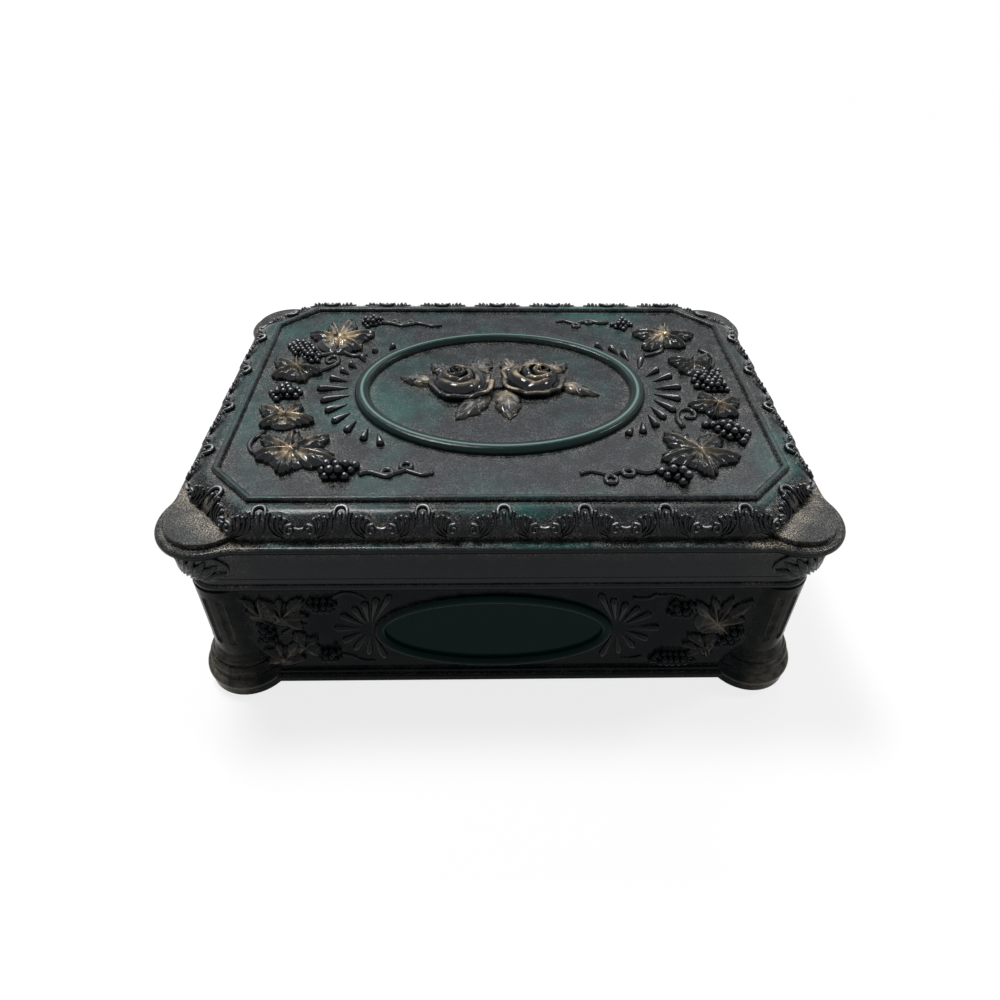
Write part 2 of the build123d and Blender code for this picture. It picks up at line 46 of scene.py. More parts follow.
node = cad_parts

# Camera. It stands in front of the box and looks down on the lid, a little to the left of
# the middle, as in the photograph.
camera_place = Vector((-6.2, -244.1, 251.3)) * mm
camera_pitch = radians(39.07)
camera_yaw = radians(1.55)
camera_roll = radians(0.86)
frame_width = 36.0
focal_length = 0.7192 * frame_width
look = Vector((sin(camera_yaw) * cos(camera_pitch), cos(camera_yaw) * cos(camera_pitch), -sin(camera_pitch)))
level_right = Vector((cos(camera_yaw), -sin(camera_yaw), 0))
level_up = level_right.cross(look)
camera_right = cos(camera_roll) * level_right + sin(camera_roll) * level_up
camera_up = -sin(camera_roll) * level_right + cos(camera_roll) * level_up
camera_turn = Matrix((camera_right, camera_up, -look)).transposed().to_4x4()
bpy.ops.object.camera_add()
camera = bpy.context.object
camera.matrix_world = Matrix.Translation(camera_place) @ camera_turn
camera.data.sensor_width = frame_width
camera.data.lens = focal_length
camera.data.shift_y = -0.0429
camera.data.clip_start = 0.01
bpy.context.scene.camera = camera

# Studio. A pale table runs out to a white surround. A soft lamp stands above to the left, a
# long weak one behind the box and a narrow one to the right.
bpy.context.scene.view_settings.view_transform = "Standard"


def add_node(tree, kind, inputs=None, **settings):
    """A shader node with its settings made and its sockets filled or linked."""
    new = tree.nodes.new(kind)
    for name, value in settings.items():
        setattr(new, name, value)
    for key, value in (inputs or {}).items():
        if isinstance(value, bpy.types.NodeSocket):
            tree.links.new(value, new.inputs[key])
        else:
            new.inputs[key].default_value = value
    return new


def fade(tree, value, start, end, low=0.0, high=1.0, clamp=True):
    """Runs from `low` to `high` while a value runs from `start` to `end`."""
    run = {"Value": value, "From Min": start, "From Max": end, "To Min": low, "To Max": high}
    return add_node(tree, "ShaderNodeMapRange", run, clamp=clamp).outputs[0]


def product(tree, first, *others, clamp=False):
    """Values multiplied together, and held between 0 and 1 at the end where asked."""
    for number, other in enumerate(others, 1):
        last = number == len(others)
        first = add_node(tree, "ShaderNodeMath", {0: first, 1: other}, operation="MULTIPLY",
                         use_clamp=clamp and last).outputs[0]
    return first


def new_finish(name):
    """A new material with an empty node tree."""
    material = bpy.data.materials.new(name)
    material.use_nodes = True
    material.node_tree.nodes.clear()
    return material, material.node_tree


def seen_directly(tree):
    """1 for camera, glossy and transmission rays, 0 for the rays that light the object."""
    path = add_node(tree, "ShaderNodeLightPath")
    seen = path.outputs["Is Camera Ray"]
    for ray in ("Is Glossy Ray", "Is Transmission Ray"):
        either = add_node(tree, "ShaderNodeMath", {0: seen, 1: path.outputs[ray]}, operation="MAXIMUM")
        seen = either.outputs[0]
    return seen


world = bpy.data.worlds.new("surround")
bpy.context.scene.world = world
world.use_nodes = True
world.node_tree.nodes.clear()
fill = add_node(world.node_tree, "ShaderNodeBackground", {"Color": (1, 1, 1, 1), "Strength": 0.2})
white = add_node(world.node_tree, "ShaderNodeBackground", {"Color": (1, 1, 1, 1), "Strength": 1.0})
chosen = add_node(world.node_tree, "ShaderNodeMixShader",
                  {0: seen_directly(world.node_tree), 1: fill.outputs[0], 2: white.outputs[0]})
add_node(world.node_tree, "ShaderNodeOutputWorld", {"Surface": chosen.outputs[0]})

# The table glows where it is seen, fully from far out, so that it shows no edge
bpy.ops.object.select_all(action="DESELECT")
bpy.ops.mesh.primitive_plane_add(size=12)
table = bpy.context.object
table.name = "table"
table_white, tree = new_finish("table_white")
painted = add_node(tree, "ShaderNodeBsdfDiffuse", {"Color": (0.8, 0.8, 0.8, 1)})
glow = add_node(tree, "ShaderNodeEmission", {"Color": (1, 1, 1, 1), "Strength": 1.0})
spot = add_node(tree, "ShaderNodeTexCoord")
away = add_node(tree, "ShaderNodeVectorMath", {0: spot.outputs["Object"]}, operation="LENGTH")
glow_share = product(tree, seen_directly(tree), fade(tree, away.outputs["Value"], 0.3, 1.2, 0.8, 1.0))
mixed = add_node(tree, "ShaderNodeMixShader", {0: glow_share, 1: painted.outputs[0], 2: glow.outputs[0]})
add_node(tree, "ShaderNodeOutputMaterial", {"Surface": mixed.outputs[0]})
table.data.materials.append(table_white)

box_middle = Vector((0, 0, 0.05))
for name, place, width, depth, radiance in (
        ("lamp_above", (-0.35, 0.3, 1.25), 0.38, 0.3, 50.0),
        ("lamp_behind", (0.0, 0.85, 0.95), 1.5, 0.3, 4.5),
        ("lamp_right", (0.9, 0.2, 1.0), 0.2, 0.2, 40.0)):
    bpy.ops.object.light_add(type="AREA", location=place)
    lamp = bpy.context.object
    lamp.name = name
    lamp.data.shape = "RECTANGLE"
    lamp.data.size = width
    lamp.data.size_y = depth
    lamp.data.energy = radiance * pi * width * depth
    lamp.rotation_euler = (box_middle - Vector(place)).to_track_quat("-Z", "Y").to_euler()

# Mouldings. Base and lid are cast in a dark green resin with a worn, satin gloss. The faces
# that look up carry a grey film, the hollows hold tan dust, and raised parts may have gold
# rubbed on them.
corner_x = 100.0
corner_y = 66.5
green_black = (0.0028, 0.0042, 0.0055, 1)
grey_film = (0.4, 0.47, 0.5, 1)
tan_dust = (0.26, 0.235, 0.205, 1)
banked_dust = (0.34, 0.29, 0.22, 1)
deep_teal = (0.0006, 0.0105, 0.0092, 1)
# pale teal of the painted highlight line on the lid's oval ring
highlight_teal = (0.3, 0.52, 0.48, 1)
scuffed = (0.36, 0.32, 0.25, 1)
# pale grey for tops that look up: partly wear, partly painted highlight
wear_and_highlight_pale = (0.62, 0.65, 0.68, 1)
rubbed_gold = (0.62, 0.48, 0.31, 1)
carved_green = (0.003, 0.008, 0.007)
# darker green for the copies of the resin that paint shade
shaded_copy_green = (0.002, 0.006, 0.006)
border_foot = 117.5
ear_clean = 126.0
band_top = 74.0


def over(tree, below, share, above):
    """One colour laid over another by its share."""
    laid = add_node(tree, "ShaderNodeMix", {"Factor": share, "A": below, "B": above}, data_type="RGBA")
    return laid.outputs["Result"]


def clouds(tree, place, scale, detail, roughness):
    """Soft random clouds, finer with a larger scale."""
    return add_node(tree, "ShaderNodeTexNoise", {"Vector": place, "Scale": scale, "Detail": detail,
                                                 "Roughness": roughness}).outputs["Fac"]


def oval_reach(tree, place, axes, middle, half_size):
    """How far out a point lies from an oval's middle, 1 on its edge."""
    split = add_node(tree, "ShaderNodeSeparateXYZ", {0: place})
    reach = [fade(tree, split.outputs[axis], centre * mm, (centre + half) * mm, clamp=False)
             for axis, centre, half in zip(axes, middle, half_size)]
    across = add_node(tree, "ShaderNodeCombineXYZ", dict(enumerate(reach)))
    return add_node(tree, "ShaderNodeVectorMath", {0: across.outputs[0]}, operation="LENGTH").outputs["Value"]


def oval_colour(tree, colour, place, axes, middle, outer, inner):
    """Teal laid over an oval field, or over a ring with a painted highlight line along its crest."""
    share = fade(tree, oval_reach(tree, place, axes, middle, outer), 1.02, 0.99)
    if not inner:
        return over(tree, colour, share, deep_teal)
    field = fade(tree, oval_reach(tree, place, axes, middle, inner), 1.02, 0.99)
    ring = add_node(tree, "ShaderNodeMath", {0: share, 1: field}, operation="SUBTRACT").outputs[0]
    crest = [(big + small) / 2 for big, small in zip(outer, inner)]
    reach = oval_reach(tree, place, axes, middle, crest)
    # A painted highlight: a thin pale teal line laid along the ring's crest
    painted_highlight = product(tree, fade(tree, reach, 1.014, 1.004), fade(tree, reach, 0.988, 0.998, high=0.3))
    return over(tree, over(tree, colour, ring, deep_teal), painted_highlight, highlight_teal)


def moulded_resin(name, patch, film, gloss, shine, pitting, dust, rubbed=False, ovals=(), lid_dust=False,
                  column_scuff=False, wear_and_highlight_tops=0.0, top_from=0.93):
    """Green-black resin: grey film on upward faces, dust in hollows, gold rub, teal ovals, pale tops that are
    partly wear and partly painted highlight, and a painted highlight line on the oval ring.
    """
    material, tree = new_finish(name)
    coordinates = add_node(tree, "ShaderNodeTexCoord")
    place = coordinates.outputs["Object"]
    facing = add_node(tree, "ShaderNodeSeparateXYZ", {0: coordinates.outputs["Normal"]}).outputs["Z"]
    outward = add_node(tree, "ShaderNodeVectorMath", {0: place}, operation="ABSOLUTE").outputs[0]
    spot = add_node(tree, "ShaderNodeSeparateXYZ", {0: outward})
    cloud = clouds(tree, place, 160.0, 6.0, 0.7)
    speck = clouds(tree, place, 2000.0, 2.0, 0.6)
    upward = fade(tree, facing, 0.35, 0.95, 0.06, 1.0)
    mottle = fade(tree, cloud, 0.38, 0.66, 0.2, 1.15)
    grain = fade(tree, speck, 0.43, 0.68, 0.0, 3.6)

    # Green patches in the black, none of them on the ears of the lid
    lift = add_node(tree, "ShaderNodeMath", {0: upward, 1: 0.3, 2: -0.3}, operation="MULTIPLY_ADD").outputs[0]
    levels = [lift]
    if lid_dust:
        slant = add_node(tree, "ShaderNodeVectorMath", {0: outward, 1: (0.5 ** 0.5, 0.5 ** 0.5, 0)},
                         operation="DOT_PRODUCT").outputs["Value"]
        levels.append(fade(tree, slant, (border_foot - 8) * mm, border_foot * mm, high=-0.3))
    patch_level = clouds(tree, place, 17.0, 4.0, 0.65)
    for level in levels:
        patch_level = add_node(tree, "ShaderNodeMath", {0: patch_level, 1: level}, operation="ADD").outputs[0]
    green = add_node(tree, "ShaderNodeValToRGB", {"Fac": patch_level})
    for stop, position, shade in zip(green.color_ramp.elements, (0.46, 0.66), (green_black, (*patch, 1))):
        stop.position = position
        stop.color = shade

    # Film on what looks up, then dust in the hollows
    film_share = product(tree, upward, mottle, grain, film, clamp=True)
    colour = over(tree, green.outputs["Color"], film_share, grey_film)
    hollow = add_node(tree, "ShaderNodeAmbientOcclusion", {"Distance": 7.0 * mm}, samples=6).outputs["AO"]
    settled = product(tree, fade(tree, hollow, 0.9, 0.7, high=dust), fade(tree, hollow, 0.35, 0.62), mottle,
                      grain, clamp=True)
    if lid_dust:
        above_band = fade(tree, spot.outputs["Z"], (band_top - 8) * mm, band_top * mm, low=0.12)
        settled = product(tree, settled, above_band)
    colour = over(tree, colour, settled, tan_dust)
    for oval in ovals:
        colour = oval_colour(tree, colour, place, *oval)
    if lid_dust:
        bank = fade(tree, slant, border_foot * mm, ear_clean * mm, 0.42, 0.06)
        begun = fade(tree, slant, (border_foot - 4) * mm, border_foot * mm)
        blown = product(tree, bank, begun, upward, mottle, grain, clamp=True)
        colour = over(tree, colour, blown, banked_dust)

    # Scuffs on the corner columns, pale tops on faces that look up (partly wear, partly painted highlight)
    # and rubbed gold
    if column_scuff:
        scuff = fade(tree, spot.outputs["Z"], 6 * mm, 22 * mm, 0.3, 0.06)
        for axis, centre in (("X", corner_x), ("Y", corner_y)):
            column = fade(tree, spot.outputs[axis], (centre - 7) * mm, (centre + 1) * mm)
            scuff = product(tree, scuff, column)
        colour = over(tree, colour, product(tree, scuff, mottle), scuffed)
    # Faces that look up are laid over with pale grey: partly wear, partly a painted highlight
    if wear_and_highlight_tops:
        top = fade(tree, facing, top_from, 0.995, high=wear_and_highlight_tops)
        colour = over(tree, colour, product(tree, top, mottle), wear_and_highlight_pale)
    unpolished = fade(tree, facing, 0.85, 0.99, high=0.04)
    rough = add_node(tree, "ShaderNodeMath", {0: unpolished, 1: cloud, 2: gloss},
                     operation="MULTIPLY_ADD").outputs[0]
    pits = add_node(tree, "ShaderNodeBump", {"Height": speck, "Strength": 0.5, "Distance": pitting * mm})
    resin = add_node(tree, "ShaderNodeBsdfPrincipled",
                     {"Roughness": rough, "Normal": pits.outputs["Normal"], "IOR": 1.3,
                      "Specular IOR Level": shine})
    if rubbed:
        rub = add_node(tree, "ShaderNodeAttribute", attribute_name="rub").outputs["Fac"]
        gold_share = product(tree, rub, fade(tree, cloud, 0.42, 0.6), clamp=True)
        colour = over(tree, colour, gold_share, rubbed_gold)
        tree.links.new(product(tree, gold_share, 0.4), resin.inputs["Metallic"])
    tree.links.new(colour, resin.inputs["Base Color"])
    add_node(tree, "ShaderNodeOutputMaterial", {"Surface": resin.outputs[0]})
    return material


lid_oval = ("XY", (0, 0), (58.6, 43.4), (52.2, 37.0))
front_oval = ("XZ", (-1.5, 30.9), (43.5, 20.8), ())
side_oval = ("YZ", (0, 30.9), (27.1, 20.8), ())
resin_lid = moulded_resin("resin_lid", (0.0025, 0.042, 0.037), film=0.036, gloss=0.12, shine=0.28,
                          pitting=0.14, dust=0.26, ovals=[lid_oval], lid_dust=True)
# A copy of the resin that barely reflects, for the faces of the lid that look down: painted shade under the
# band and rim
resin_under_shaded = moulded_resin("resin_under_shaded", shaded_copy_green, film=0.0, gloss=0.3, shine=0.02, pitting=0.02,
                            dust=0.04)
# The base's resin reflects much less than the lid's: a darker copy for the walls, painted shade
resin_base_in_shade = moulded_resin("resin_base_in_shade", (0.002, 0.016, 0.015), film=0.012, gloss=0.15, shine=0.07,
                           pitting=0.04, dust=0.1, ovals=[front_oval, side_oval], column_scuff=True)
# Carved resin: its faint pale tops are partly wear, partly painted highlight
resin_carved = moulded_resin("resin_carved", carved_green, film=0.006, gloss=0.09, shine=0.52, pitting=0.02,
                             dust=0.05, rubbed=True, wear_and_highlight_tops=0.06)
node["base_shell"].data.materials[0] = resin_base_in_shade
node["lid_shell"].data.materials[0] = resin_lid
node["lid_shell"].data.materials.append(resin_under_shaded)
# Faces that look down take the shaded copy: painted shade
for face in node["lid_shell"].data.polygons:
    if face.normal.z < -0.05:
        face.material_index = 1

# Vine leaves on the lid. Each leaf is pressed with the lid in one go: pointed lobes fan from
# a hub, ribbed along the middle, toothed at the edge and standing 3 to 4 mm off the panel.
panel_level = 88.85


def on_panel(u, v, h):
    """A point h above the lid panel."""
    return Vector((u, v, panel_level + h))


def edit_all():
    """Edit mode with the whole of the active piece selected."""
    bpy.ops.object.mode_set(mode="EDIT")
    bpy.ops.mesh.select_all(action="SELECT")


def press(piece, lay, sink=0.3):
    """Run the open edge of a carving straight down into its ground and lay it in place."""
    mesh = piece.data
    bpy.ops.object.select_all(action="DESELECT")
    bpy.context.view_layer.objects.active = piece
    piece.select_set(True)
    if sink:
        edit_all()
        bpy.ops.mesh.remove_doubles(threshold=0.01 * mm)
        bpy.ops.object.mode_set(mode="OBJECT")
        top_points = len(mesh.vertices)
        edit_all()
        bpy.ops.mesh.region_to_loop()
        bpy.ops.mesh.extrude_edges_move()
        bpy.ops.object.mode_set(mode="OBJECT")
        for point in mesh.vertices[top_points:]:
            point.co.z = -sink * mm
    for point in mesh.vertices:
        point.co = lay(*(point.co / mm)) * mm
    edit_all()
    bpy.ops.mesh.remove_doubles(threshold=0.02 * mm)
    bpy.ops.object.mode_set(mode="OBJECT")
    bpy.ops.object.shade_smooth()


def carved_sheet(columns, rows, shape, lay):
    """A grid shaped by `shape(t, s)`, which gives a place across, along, up and a gold share."""
    bpy.ops.object.select_all(action="DESELECT")
    bpy.ops.mesh.primitive_grid_add(x_subdivisions=columns, y_subdivisions=rows, size=2)
    piece = bpy.context.object
    rub = piece.data.attributes.new("rub", "FLOAT", "POINT")
    for index, point in enumerate(piece.data.vertices):
        u, v, h, gold = shape((point.co.x + 1) / 2, point.co.y)
        point.co = Vector((u, v, h)) * mm
        rub.data[index].value = gold
    press(piece, lay)
    return piece


def leaf_lobe(base, tip, width, rise, gold, lay):
    """One lobe of a leaf from its base to its tip."""
    root = Vector(base)
    length = (Vector(tip) - root).length
    along = (Vector(tip) - root).normalized()
    across = Vector((-along.y, along.x))

    def shape(t, s):
        tooth = (t * 3.6 + 0.2) % 1.0
        swell = 0.14 * (1 - t) + sin(pi * min(1.0, t) ** 0.8) ** 0.9
        half = width / 2 * swell * (1 - 0.36 * tooth * min(1.0, 2 * t))
        if t > 0.999:
            half = 0.0
        crown = 0.42 + 0.58 * sin(pi * t ** 0.85) - 0.2 * t ** 4
        bulge = 1 - 0.5 * s * s - 0.34 * exp(-(s / 0.26) ** 2) * sin(pi * t) ** 0.5
        vein = 0.32 * exp(-(s * half / 0.4) ** 2) * (1 - 0.7 * t)
        side_veins = 0.17 * sin(2 * pi * (3.1 * t - 1.0 * abs(s))) * min(1.0, 2.5 * abs(s)) * sin(pi * t)
        height = rise * (crown * bulge + vein + side_veins * (1 - 0.5 * abs(s)))
        forward = length * (t + 0.07 * abs(s) ** 1.5 * sin(pi * t))
        place = root + along * forward + across * (half * s)
        worn = max(0.0, 0.7 - 1.6 * t) + max(0.0, vein * 2.4 - 0.2)
        return place.x, place.y, height, gold * min(1.0, worn + 0.05)

    return carved_sheet(24, 12, shape, lay)


def join_as(name, pieces, body, material):
    """Make one named piece of several, and let it ride with its body."""
    bpy.ops.object.select_all(action="DESELECT")
    for piece in pieces:
        piece.select_set(True)
    bpy.context.view_layer.objects.active = pieces[0]
    if len(pieces) > 1:
        bpy.ops.object.join()
    joined = pieces[0]
    joined.name = name
    joined.data.name = name
    joined.data.materials.clear()
    joined.data.materials.append(material)
    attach(joined, body)
    return joined


def vine_leaf(hub, tips, rise, gold, lay):
    """A whole leaf: a lobe runs out to each tip, with a raised vein and a groove beside it."""
    middle = Vector(hub)
    arms = []
    for tip in tips:
        arm = Vector(tip) - middle
        arms.append((atan2(arm.y, arm.x), arm.length))
    arms.sort()
    longest = max(length for angle, length in arms)
    gaps = [(arms[(number + 1) % len(arms)][0] - arms[number][0]) % (2 * pi) for number in range(len(arms))]

    def shape(t, s):
        angle = pi * s
        reach, turn, half_gap = 0.0, 0.0, 1.0
        for number, (direction, length) in enumerate(arms):
            off = (angle - direction + pi) % (2 * pi) - pi
            room = min(gaps[number] if off > 0 else gaps[number - 1], 1.5) / 2
            share = min(1.0, abs(off) / room)
            here = length * (1 - 0.44 * share ** 1.3)
            if here > reach:
                reach, turn, half_gap = here, off, share
        tooth = (half_gap * 2.6 + 0.25) % 1.0
        edge = max(reach, 0.46 * longest) * (1 - 0.13 * tooth)
        out = t ** 0.85 * edge
        along, across = out * cos(turn), abs(out * sin(turn))
        dome = 0.66 + 0.34 * sin(pi * min(1.0, 0.25 + 0.6 * t)) - 0.38 * t ** 5
        valley = 1 - 0.42 * half_gap ** 2 * min(1.0, 2.0 * t)
        vein = 0.24 * exp(-(across / 0.36) ** 2) * (1 - 0.6 * t)
        pleat = sin(2 * pi * (along - 1.15 * across) / (0.3 * longest))
        puff = 0.07 * pleat * min(1.0, across / 1.2) * (1 - t ** 4)
        groove = -0.18 * exp(-((across - 1.1) / 0.55) ** 2) * min(1.0, 3 * t) * (1 - t ** 3)
        height = rise * (dome * valley + vein + puff + groove)
        worn = gold * max(0.0, 0.85 - 1.3 * t) + max(gold, 0.5) * vein * 1.6
        return middle.x + out * cos(angle), middle.y + out * sin(angle), height, min(1.0, worn)

    return carved_sheet(14, 190 if longest > 9 else 130, shape, lay)


lid_leaves_left = (
    ((-70, 36), ((-85, 43), (-80, 31), (-59, 29), (-55, 44), (-68, 56), (-76, 53)), 1.0),
    ((-84, 12), ((-94, 7), (-95, 21), (-79, 3), (-73, 10), (-86, 23)), 0.15),
    ((-82, -22), ((-91, -27), (-93, -14), (-81, -28), (-70, -24), (-77, -13)), 1.0),
    ((-75, -43), ((-89, -44), (-77, -55), (-58, -47), (-63, -32), (-77, -29), (-89, -33)), 0.7),
)
lid_leaves_right = (
    ((74, 39), ((60, 44), (63, 29), (83, 31), (89, 42), (77, 52)), 0.8),
    ((82, 15), ((72, 21), (90, 14), (91, 24), (75, 11)), 0.1),
    ((85, -15), ((73, -13), (79, -6), (81, -22), (92, -21), (95, -10)), 0.45),
    ((71, -44), ((60, -31), (56, -47), (73, -57), (86, -46), (82, -33)), 0.15),
)
for side, leaves in (("left", lid_leaves_left), ("right", lid_leaves_right)):
    join_as("lid_leaves_" + side, [vine_leaf(hub, tips, 3.8, gold, on_panel) for hub, tips, gold in leaves],
            "lid", resin_carved)

# Grapes on the lid. The bunches are balls in two layers, pressed with the lid, and glossier
# than the rest because the film doesn't hold on them.
bpy.ops.object.select_all(action="DESELECT")
bpy.ops.mesh.primitive_ico_sphere_add(subdivisions=2, radius=0.5 * mm)
grape_ball = bpy.context.object
edit_all()
bpy.ops.mesh.bisect(plane_co=(0, 0, -0.3 * mm), plane_no=(0, 0, -1), clear_outer=True)
bpy.ops.object.mode_set(mode="OBJECT")


def copy_of(pattern):
    """A copy of a pattern with a mesh of its own."""
    new = pattern.copy()
    new.data = pattern.data.copy()
    bpy.context.collection.objects.link(new)
    return new


def inside(point, outline):
    """Whether a point lies inside an outline."""
    crossings = 0
    for (x1, y1), (x2, y2) in zip(outline, outline[1:] + outline[:1]):
        if (y1 > point.y) != (y2 > point.y):
            crossings += point.x < x1 + (point.y - y1) / (y2 - y1) * (x2 - x1)
    return crossings % 2 == 1


def grape_bunch(corner_points, size, lay, seed):
    """Balls set close together over a patch, with a second layer on its middle."""
    shake = random.Random(seed)
    middle = sum((Vector(point) for point in corner_points), Vector((0, 0))) / len(corner_points)
    outline = sorted(corner_points, key=lambda point: atan2(point[1] - middle.y, point[0] - middle.x))
    seats = []
    pitch = 0.93 * size
    rows = int(40 / pitch)
    for row in range(-rows, rows + 1):
        for step in range(-rows, rows + 1):
            seat = middle + Vector(((step + 0.5 * (row % 2)) * pitch, row * pitch * 0.87))
            seat += Vector((shake.uniform(-0.1, 0.1), shake.uniform(-0.1, 0.1))) * size
            if inside(seat, outline):
                seats.append((seat, 0.3 * size))
    for seat, height in list(seats):
        shifted = seat + Vector((0.5, 0.29)) * pitch
        core = middle + (shifted - middle) * 1.45
        if inside(core, outline):
            seats.append((shifted, 0.95 * size))
    balls = []
    for seat, height in seats:
        ball = copy_of(grape_ball)
        girth = size * shake.uniform(0.94, 1.08)
        for point in ball.data.vertices:
            spot = point.co / mm * girth
            point.co = lay(seat.x + spot.x, seat.y + spot.y, height + spot.z) * mm
        balls.append(ball)
    return balls


def finish_balls(name, balls, body, material):
    """Join the balls of the bunches and smooth them."""
    join_as(name, balls, body, material)
    bpy.ops.object.shade_smooth()


# Black resin for grapes and drops: its pale tops on faces that look up are partly wear, partly painted
# highlight
resin_black = moulded_resin("resin_black", carved_green, film=0.003, gloss=0.08, shine=0.42, pitting=0.01,
                            dust=0.0, wear_and_highlight_tops=0.8)
lid_grapes_left = (
    (((-63, 55), (-54, 52), (-61, 48), (-57, 58), (-52, 55)), 2.4),
    (((-92, 30), (-89, 37), (-83, 34), (-76, 24), (-76, 17), (-88, 25)), 2.5),
    (((-92, -9), (-79, -5), (-91, -1), (-84, 2), (-80, -9)), 2.9),
    (((-62, -57), (-57, -59), (-51, -54), (-49, -51), (-54, -48), (-64, -49)), 3.5),
)
lid_grapes_right = (
    (((51, 52), (57, 47), (63, 52), (58, 56)), 2.4),
    (((80, 9), (79, 1), (92, 0), (92, 12), (93, -4), (84, -3)), 2.8),
    (((77, -26), (83, -32), (89, -40), (94, -33), (87, -26)), 3.2),
    (((54, -54), (60, -61), (65, -60), (62, -51)), 3.6),
)
for side, bunches in (("left", lid_grapes_left), ("right", lid_grapes_right)):
    balls = []
    for number, (corner_points, size) in enumerate(bunches):
        balls += grape_bunch(corner_points, size, on_panel, 7 + number)
    finish_balls("lid_grapes_" + side, balls, "lid", resin_black)

# Tendrils on the lid. Thin round stems curl from the bunches and between the leaves, moulded
# in one with the lid.


def tendril(points, girth, lay, ends=0.55, steps=5):
    """A stem along the points, thinner at its far end, half sunk in its ground."""
    bpy.ops.object.select_all(action="DESELECT")
    bpy.ops.curve.primitive_nurbs_path_add()
    stem = bpy.context.object
    stem.data.splines.clear()
    spline = stem.data.splines.new("NURBS")
    spline.points.add(len(points) - 1)
    for number, (knot, (u, v)) in enumerate(zip(spline.points, points)):
        knot.co = (u * mm, v * mm, 0.35 * girth * mm, 1)
        knot.radius = 1 - (1 - ends) * number / (len(points) - 1)
    spline.order_u = 3
    spline.use_endpoint_u = True
    spline.resolution_u = steps
    stem.data.bevel_depth = girth * mm
    stem.data.bevel_resolution = 2
    stem.data.use_fill_caps = True
    bpy.ops.object.convert(target="MESH")
    press(stem, lay, sink=0)
    return stem


def looped(start, finish, loops, loop_size, turns):
    """Points of a stem that waves from start to finish, with round loops on the way."""
    first, last = Vector(start), Vector(finish)
    along = last - first
    side = Vector((-along.y, along.x)).normalized()
    points = []
    for step in range(turns + 1):
        share = step / turns
        points.append(first + along * share + side * (1.7 * sin(2 * pi * share * turns / 4)))
        if min(abs(share - loop_at) for loop_at in loops) < 0.5 / turns:
            centre = points[-1] + side * loop_size
            for turn in range(1, 8):
                angle = -pi / 2 + turn * pi / 4
                points.append(centre + (along.normalized() * cos(angle) + side * sin(angle)) * loop_size)
    return [tuple(point) for point in points]


lid_tendrils = {
    "left": (
        looped((-55, 53), (-26, 52), (0.25, 0.5), 1.6, 8),
        looped((-50, -54), (-24, -53), (0.38, 0.62), 2.1, 8),
        ((-77, 25), (-72, 26), (-69, 28), (-66, 28)),
        ((-76, 12), (-71, 15), (-68, 19), (-69, 24), (-72, 24), (-74, 21), (-72, 18), (-70, 20)),
        ((-88, -29), (-91, -33), (-92, -39), (-89, -42)),
        ((-70, 31), (-66, 26), (-61, 24), (-57, 26)),
    ),
    "right": (
        looped((51, 55), (27, 55), (0.38, 0.62), 1.6, 8),
        looped((54, -52), (27, -54), (0.38, 0.62), 2.1, 8),
        ((69, -27), (67, -22), (70, -15), (74, -15), (76, -19), (73, -22), (71, -20)),
        ((88, 30), (92, 27), (93, 20), (89, 14)),
        ((72, 30), (68, 26), (63, 25)),
    ),
}
for side, stems in lid_tendrils.items():
    join_as("lid_tendrils_" + side, [tendril(points, 1.15, on_panel, ends=0.7) for points in stems], "lid",
            resin_carved)

# Drops on the lid. A ring of long glossy beads points at the oval from each side, moulded in
# one with the lid, the fat end out.
bpy.ops.object.select_all(action="DESELECT")
bpy.ops.mesh.primitive_uv_sphere_add(segments=12, ring_count=10, radius=1)
drop_bead = bpy.context.object
edit_all()
bpy.ops.transform.rotate(value=pi / 2, orient_axis="Y", center_override=(0, 0, 0))
bpy.ops.object.mode_set(mode="OBJECT")
head_end = 0.34
for point in drop_bead.data.vertices:
    share = (point.co.x + 1) / 2
    round_end = hypot(point.co.y, point.co.z)
    tail_share = max(0.0, (share - head_end / 2) / (1 - head_end / 2))
    blunt = min(1.0, (4 * share / head_end) ** 0.5)
    girth = blunt * (1 - 0.85 * tail_share ** 1.3)
    if share > 0.98:
        girth = 0.0
    slim = girth / round_end if round_end > 0.001 else 0.0
    point.co = Vector((share, point.co.y * slim, point.co.z * slim))


def drop(head, tail, girth, rise, lay):
    """A bead from its fat head to its thin tail."""
    bead = copy_of(drop_bead)
    start = Vector(head)
    along = Vector(tail) - start
    across = Vector((-along.y, along.x)).normalized()
    for point in bead.data.vertices:
        spot = start + along * point.co.x + across * (girth * point.co.y)
        point.co = Vector((spot.x, spot.y, rise * point.co.z)) * mm
    press(bead, lay, sink=0)
    return bead


lid_drops = {
    "left": (
        ((-46, 33), (-48, 30)), ((-54, 29), (-53, 27)), ((-59, 24), (-57, 20)), ((-63, 18), (-60, 15)),
        ((-66, 13), (-62, 10)), ((-70, 7), (-62, 5)), ((-74, -1), (-61, 0)), ((-71, -10), (-60, -5)),
        ((-68, -17), (-60, -11)), ((-64, -24), (-58, -17)), ((-58, -30), (-55, -22)),
        ((-51, -35), (-50, -27)), ((-44, -38), (-46, -30)),
    ),
    "right": (
        ((43, 34), (46, 30)), ((49, 32), (52, 26)), ((54, 28), (56, 21)), ((61, 22), (59, 15)),
        ((67, 14), (61, 9)), ((72, 9), (63, 5)), ((74, 0), (63, 0)), ((72, -9), (62, -4)),
        ((68, -17), (61, -8)), ((63, -22), (59, -13)), ((59, -27), (57, -18)), ((53, -31), (54, -23)),
        ((47, -32), (50, -27)),
    ),
}
for side, beads in lid_drops.items():
    join_as("lid_drops_" + side, [drop(head, tail, 1.6, 2.2, on_panel) for head, tail in beads], "lid",
            resin_black)

